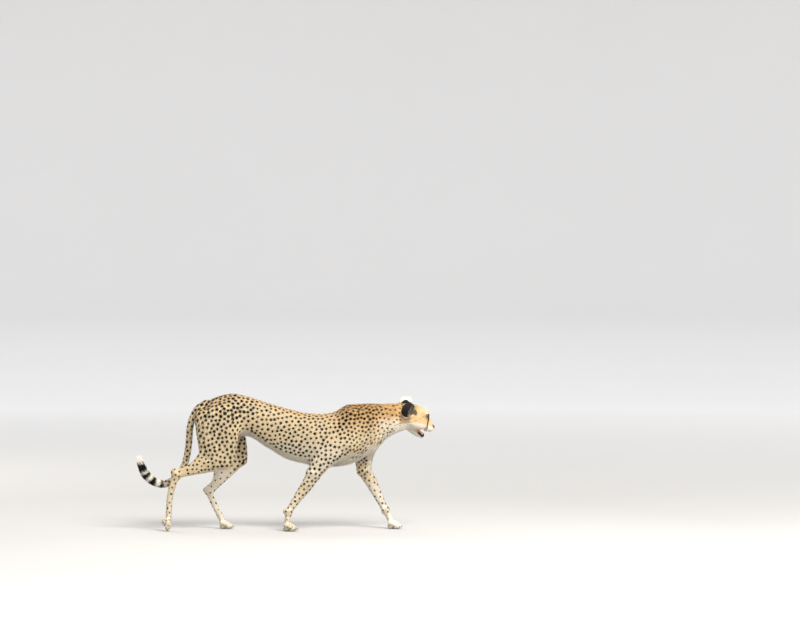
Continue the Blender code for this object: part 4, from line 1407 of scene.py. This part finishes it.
class Look:
    """A new material. Its nodes take numbers, colours and other nodes' outputs alike."""

    def __init__(self, name):
        self.made = bpy.data.materials.new(name)
        self.made.use_nodes = True
        self.tree = self.made.node_tree

    def give(self, node, values):
        """Set a node's inputs, which are named by name or number."""
        for key, value in values.items():
            socket = node.inputs[key]
            if isinstance(value, bpy.types.NodeSocket):
                self.tree.links.new(value, socket)
            else:
                socket.default_value = (*value, 1) if socket.type == "RGBA" else value
        return node

    def surface(self, values):
        self.give(self.tree.nodes["Principled BSDF"], values)
        return self.made

    def node(self, kind, values, operation=None):
        node = self.tree.nodes.new("ShaderNode" + kind)
        if operation:
            node.operation = operation
        return self.give(node, values)

    def attribute(self, name, output="Fac"):
        node = self.tree.nodes.new("ShaderNodeAttribute")
        node.attribute_name = name
        return node.outputs[output]

    def place(self):
        return self.tree.nodes.new("ShaderNodeTexCoord").outputs["Object"]

    def maths(self, operation, *values):
        return self.node("Math", dict(enumerate(values)), operation).outputs[0]

    def vectors(self, operation, *values, output="Vector"):
        return self.node("VectorMath", dict(enumerate(values)), operation).outputs[output]

    def ranged(self, value, low, high, to_low=0.0, to_high=1.0):
        """A value's place between low and high, from to_low to to_high."""
        limits = {"From Min": low, "From Max": high, "To Min": to_low, "To Max": to_high}
        return self.node("MapRange", {"Value": value, **limits}).outputs["Result"]

    def mix(self, factor, one, two, how="MIX"):
        """A mix of two colours."""
        node = self.tree.nodes.new("ShaderNodeMix")
        node.data_type, node.blend_type = "RGBA", how
        return self.give(node, {"Factor": factor, 6: one, 7: two}).outputs[2]

    def noise(self, place, scale, detail=2.0, roughness=0.5, output="Fac"):
        values = {"Vector": place, "Scale": scale, "Detail": detail, "Roughness": roughness}
        return self.node("TexNoise", values).outputs[output]

    def fur(self, spot):
        """Cream to gold to pale fur, uneven in patches, with painted shade mixed in by the dim weight, under
        the black marks and spots.
        """
        patches = self.ranged(self.noise(self.place(), 45, 4), 0.3, 0.7)
        base = self.mix(patches, tuple(c * 0.86 for c in CREAM), CREAM)
        for name, colour in (("warm", GOLD), ("pale", PALE), ("dim_and_painted_shade", DIM_AND_SHADE), ("black", BLACK), ("pink", PINK)):
            base = self.mix(self.attribute(name), base, colour)
        return self.mix(spot, base, BLACK)


def fur_material():
    look = Look("fur")
    colour = look.fur(look.attribute("spot"))
    shade = look.ranged(look.attribute("shade"), 0, 1, 0.72, 1.15)
    colour = look.mix(1.0, colour, shade, "MULTIPLY")
    return look.surface({"Base Color": colour, "Roughness": 0.72, "Specular IOR Level": 0.15})


def skin_material():
    """The coat's markings, with streaks along the lie of the hair, and a wet gloss on nose and mouth."""
    look = Look("skin")
    place = look.place()
    wobble = look.noise(place, 260, output="Color")
    wobbly = look.vectors("MULTIPLY_ADD", wobble, (0.004,) * 3, place)
    away = look.vectors("DISTANCE", wobbly, look.attribute("spot_centre", "Vector"), output="Value")
    inside = look.ranged(look.maths("DIVIDE", away, look.attribute("spot_radius")), 1.15, 0.90)
    close = look.ranged(look.attribute("spot_near"), 1.45, 1.2)
    colour = look.fur(look.maths("MULTIPLY", inside, close))

    lie = look.attribute("lie", "Vector")
    share = look.maths("MULTIPLY", look.vectors("DOT_PRODUCT", place, lie, output="Value"), -0.85)
    shorter = look.node("VectorMath", {0: lie, "Scale": share}, "SCALE").outputs["Vector"]
    hair = look.noise(look.vectors("ADD", place, shorter), 900, 3, 0.6)
    furred = look.mix(1.0, colour, look.ranged(hair, 0.32, 0.68, 0.66, 1.14), "MULTIPLY")
    bare = look.attribute("bare")
    bump = look.node("Bump", {"Strength": 0.8, "Distance": 0.0012, "Height": hair})
    return look.surface({
        "Base Color": look.mix(bare, furred, colour),
        "Roughness": look.ranged(bare, 0, 1, 0.85, 0.38),
        "Specular IOR Level": 0.25,
        "Normal": bump.outputs["Normal"],
    })


def plain_material(name, scale, detail, dark, light, roughness):
    """Two colours in a fine grain, for claws, teeth and whiskers."""
    look = Look(name)
    colour = look.mix(look.noise(look.place(), scale, detail), dark, light)
    return look.surface({"Base Color": colour, "Roughness": roughness})


def eye_material():
    """A round black pupil in an amber iris with fine fibres, darkened as painted shade, a dark rim, and a
    clear wet surface.
    """
    look = Look("eye")
    x, y, z = look.node("SeparateXYZ", {0: look.attribute("seen", "Vector")}).outputs
    squares = look.maths("ADD", look.maths("MULTIPLY", x, x), look.maths("MULTIPLY", y, y))
    away = look.maths("ADD", look.maths("SQRT", squares), look.maths("LESS_THAN", z, 0.0))
    parts = look.maths("DIVIDE", x, away), look.maths("DIVIDE", y, away), look.maths("MULTIPLY", away, 0.6)
    fibre = look.noise(look.node("CombineXYZ", dict(enumerate(parts))).outputs[0], 9, 4, 0.7)
    ramp = look.node("ValToRGB", {"Fac": away})
    for i, (at, colour) in enumerate(IRIS):
        stop = ramp.color_ramp.elements[i] if i < 2 else ramp.color_ramp.elements.new(at)
        stop.position, stop.color = at, (*colour, 1)
    colour = look.mix(1.0, ramp.outputs["Color"], look.ranged(fibre, 0.3, 0.7, 0.55, 1.25), "MULTIPLY")
    return look.surface({
        "Base Color": colour, "Roughness": 0.5, "Specular IOR Level": 0.0,
        "Coat Weight": 0.75, "Coat Roughness": 0.02,
    })


# ---------------------------------------------------------------- stage


def make_floor():
    """A pale floor that curves up into a pale wall far off, turned round the middle."""
    profile = [(radius, 0) for radius in (8, 16, 24, 30)]
    profile += [(30 + 6 * math.sin(a), 6 - 6 * math.cos(a)) for a in np.radians(np.arange(10, 91, 10))]
    profile.append((36, 16))
    form = bmesh.new()
    turns = np.radians(np.arange(0, 360, 5))
    rings = [
        [form.verts.new((radius * math.cos(t), radius * math.sin(t), height)) for t in turns]
        for radius, height in profile
    ]
    form.faces.new(rings[0])
    join_rings(form, rings)
    bmesh.ops.recalc_face_normals(form, faces=form.faces)
    floor = finished("floor", form)
    look = Look("floor")
    tone = look.noise(look.place(), 0.5)
    # Painted darker near the middle, where the lamps light the floor most, and lighter far off, so that floor
    # and wall look evenly pale.
    near_tone = look.mix(tone, (0.375, 0.37, 0.36), (0.395, 0.39, 0.38))
    far_tone = look.mix(tone, (0.72, 0.71, 0.695), (0.74, 0.73, 0.715))
    far = look.ranged(look.vectors("LENGTH", look.place(), output="Value"), 2.5, 11)
    colour = look.mix(far, near_tone, far_tone)
    floor.data.materials.append(look.surface({"Base Color": colour, "Roughness": 0.95}))


def make_light():
    world = bpy.data.worlds.new("studio")
    world.use_nodes = True
    background = world.node_tree.nodes["Background"]
    background.inputs["Color"].default_value = (0.96, 0.97, 1, 1)
    background.inputs["Strength"].default_value = 1.25
    bpy.context.scene.world = world
    bpy.context.scene.view_settings.view_transform = "Standard"
    lamps = [("key", (2.5, -4.0, 5.0), 3.0, 780), ("fill", (-3.5, 3.0, 4.0), 4.0, 130)]
    for name, place, size, power in lamps:
        lamp = bpy.data.lights.new(name, "AREA")
        lamp.energy, lamp.size, lamp.color = power, size, (1.0, 0.955, 0.88)
        light = new_object(name, lamp)
        light.location = place
        light.rotation_euler = (Vector((0, 0, 0.4)) - Vector(place)).to_track_quat("-Z", "Y").to_euler()


def make_camera():
    """Far off at the animal's right, a little above its back."""
    camera = new_object("camera", bpy.data.cameras.new("camera"))
    camera.data.lens, camera.data.sensor_width, camera.data.clip_end = 200, 36, 200
    camera.location = (0.61 + AHEAD, -24.0, 2.106)
    camera.rotation_euler = (math.radians(90 - 2.31), 0, 0)
    bpy.context.scene.camera = camera


# ---------------------------------------------------------------- the animal


def mark_skin(skin, spots):
    """Store on the skin what its material reads."""
    points, normals = corners(skin), corner_normals(skin)
    centre, radius = nearest_spot(points, *spots)
    put(skin, "spot_centre", centre + (AHEAD, 0, 0))
    put(skin, "spot_radius", radius)
    put(skin, "spot_near", np.linalg.norm(points - centre, axis=1) / radius)
    put(skin, "lie", lie_of_coat(points, normals))
    for key, values in markings(points, normals, zones(points, normals)).items():
        put(skin, key, values)


def main():
    make_floor()
    make_light()
    make_camera()
    skin = make_skin()
    spots = grow_spots(corners(skin), corner_normals(skin))
    print("skin", sum(len(p.vertices) - 2 for p in skin.data.polygons), "triangles,", len(spots[0]), "spots")
    mark_skin(skin, spots)
    coat = make_coat(skin, spots)
    eyes = [make_eye(name, y) for name, y in (("eyeball_right", -1), ("eyeball_left", 1))]
    claw = plain_material("claw", 700, 3, (0.035, 0.024, 0.018), (0.11, 0.08, 0.06), 0.32)
    tooth = plain_material("tooth", 400, 3, (0.62, 0.52, 0.34), (0.82, 0.77, 0.64), 0.25)
    whisker = plain_material("whisker", 120, 2, (0.72, 0.68, 0.58), (0.90, 0.88, 0.82), 0.45)
    pieces = {
        skin_material(): [skin], fur_material(): coat, eye_material(): eyes,
        claw: [make_claws()], tooth: [make_teeth()], whisker: [make_whiskers()],
    }
    for material, group in pieces.items():
        for piece in group:
            piece.data.materials.append(material)
            piece.data.transform(Matrix.Translation((AHEAD, 0, 0)))
            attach(piece, "root")
    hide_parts(*(node for node in frame["nodes"] if not node.startswith("eye")))
    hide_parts("eye_right")
    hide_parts("eye_left")


main()
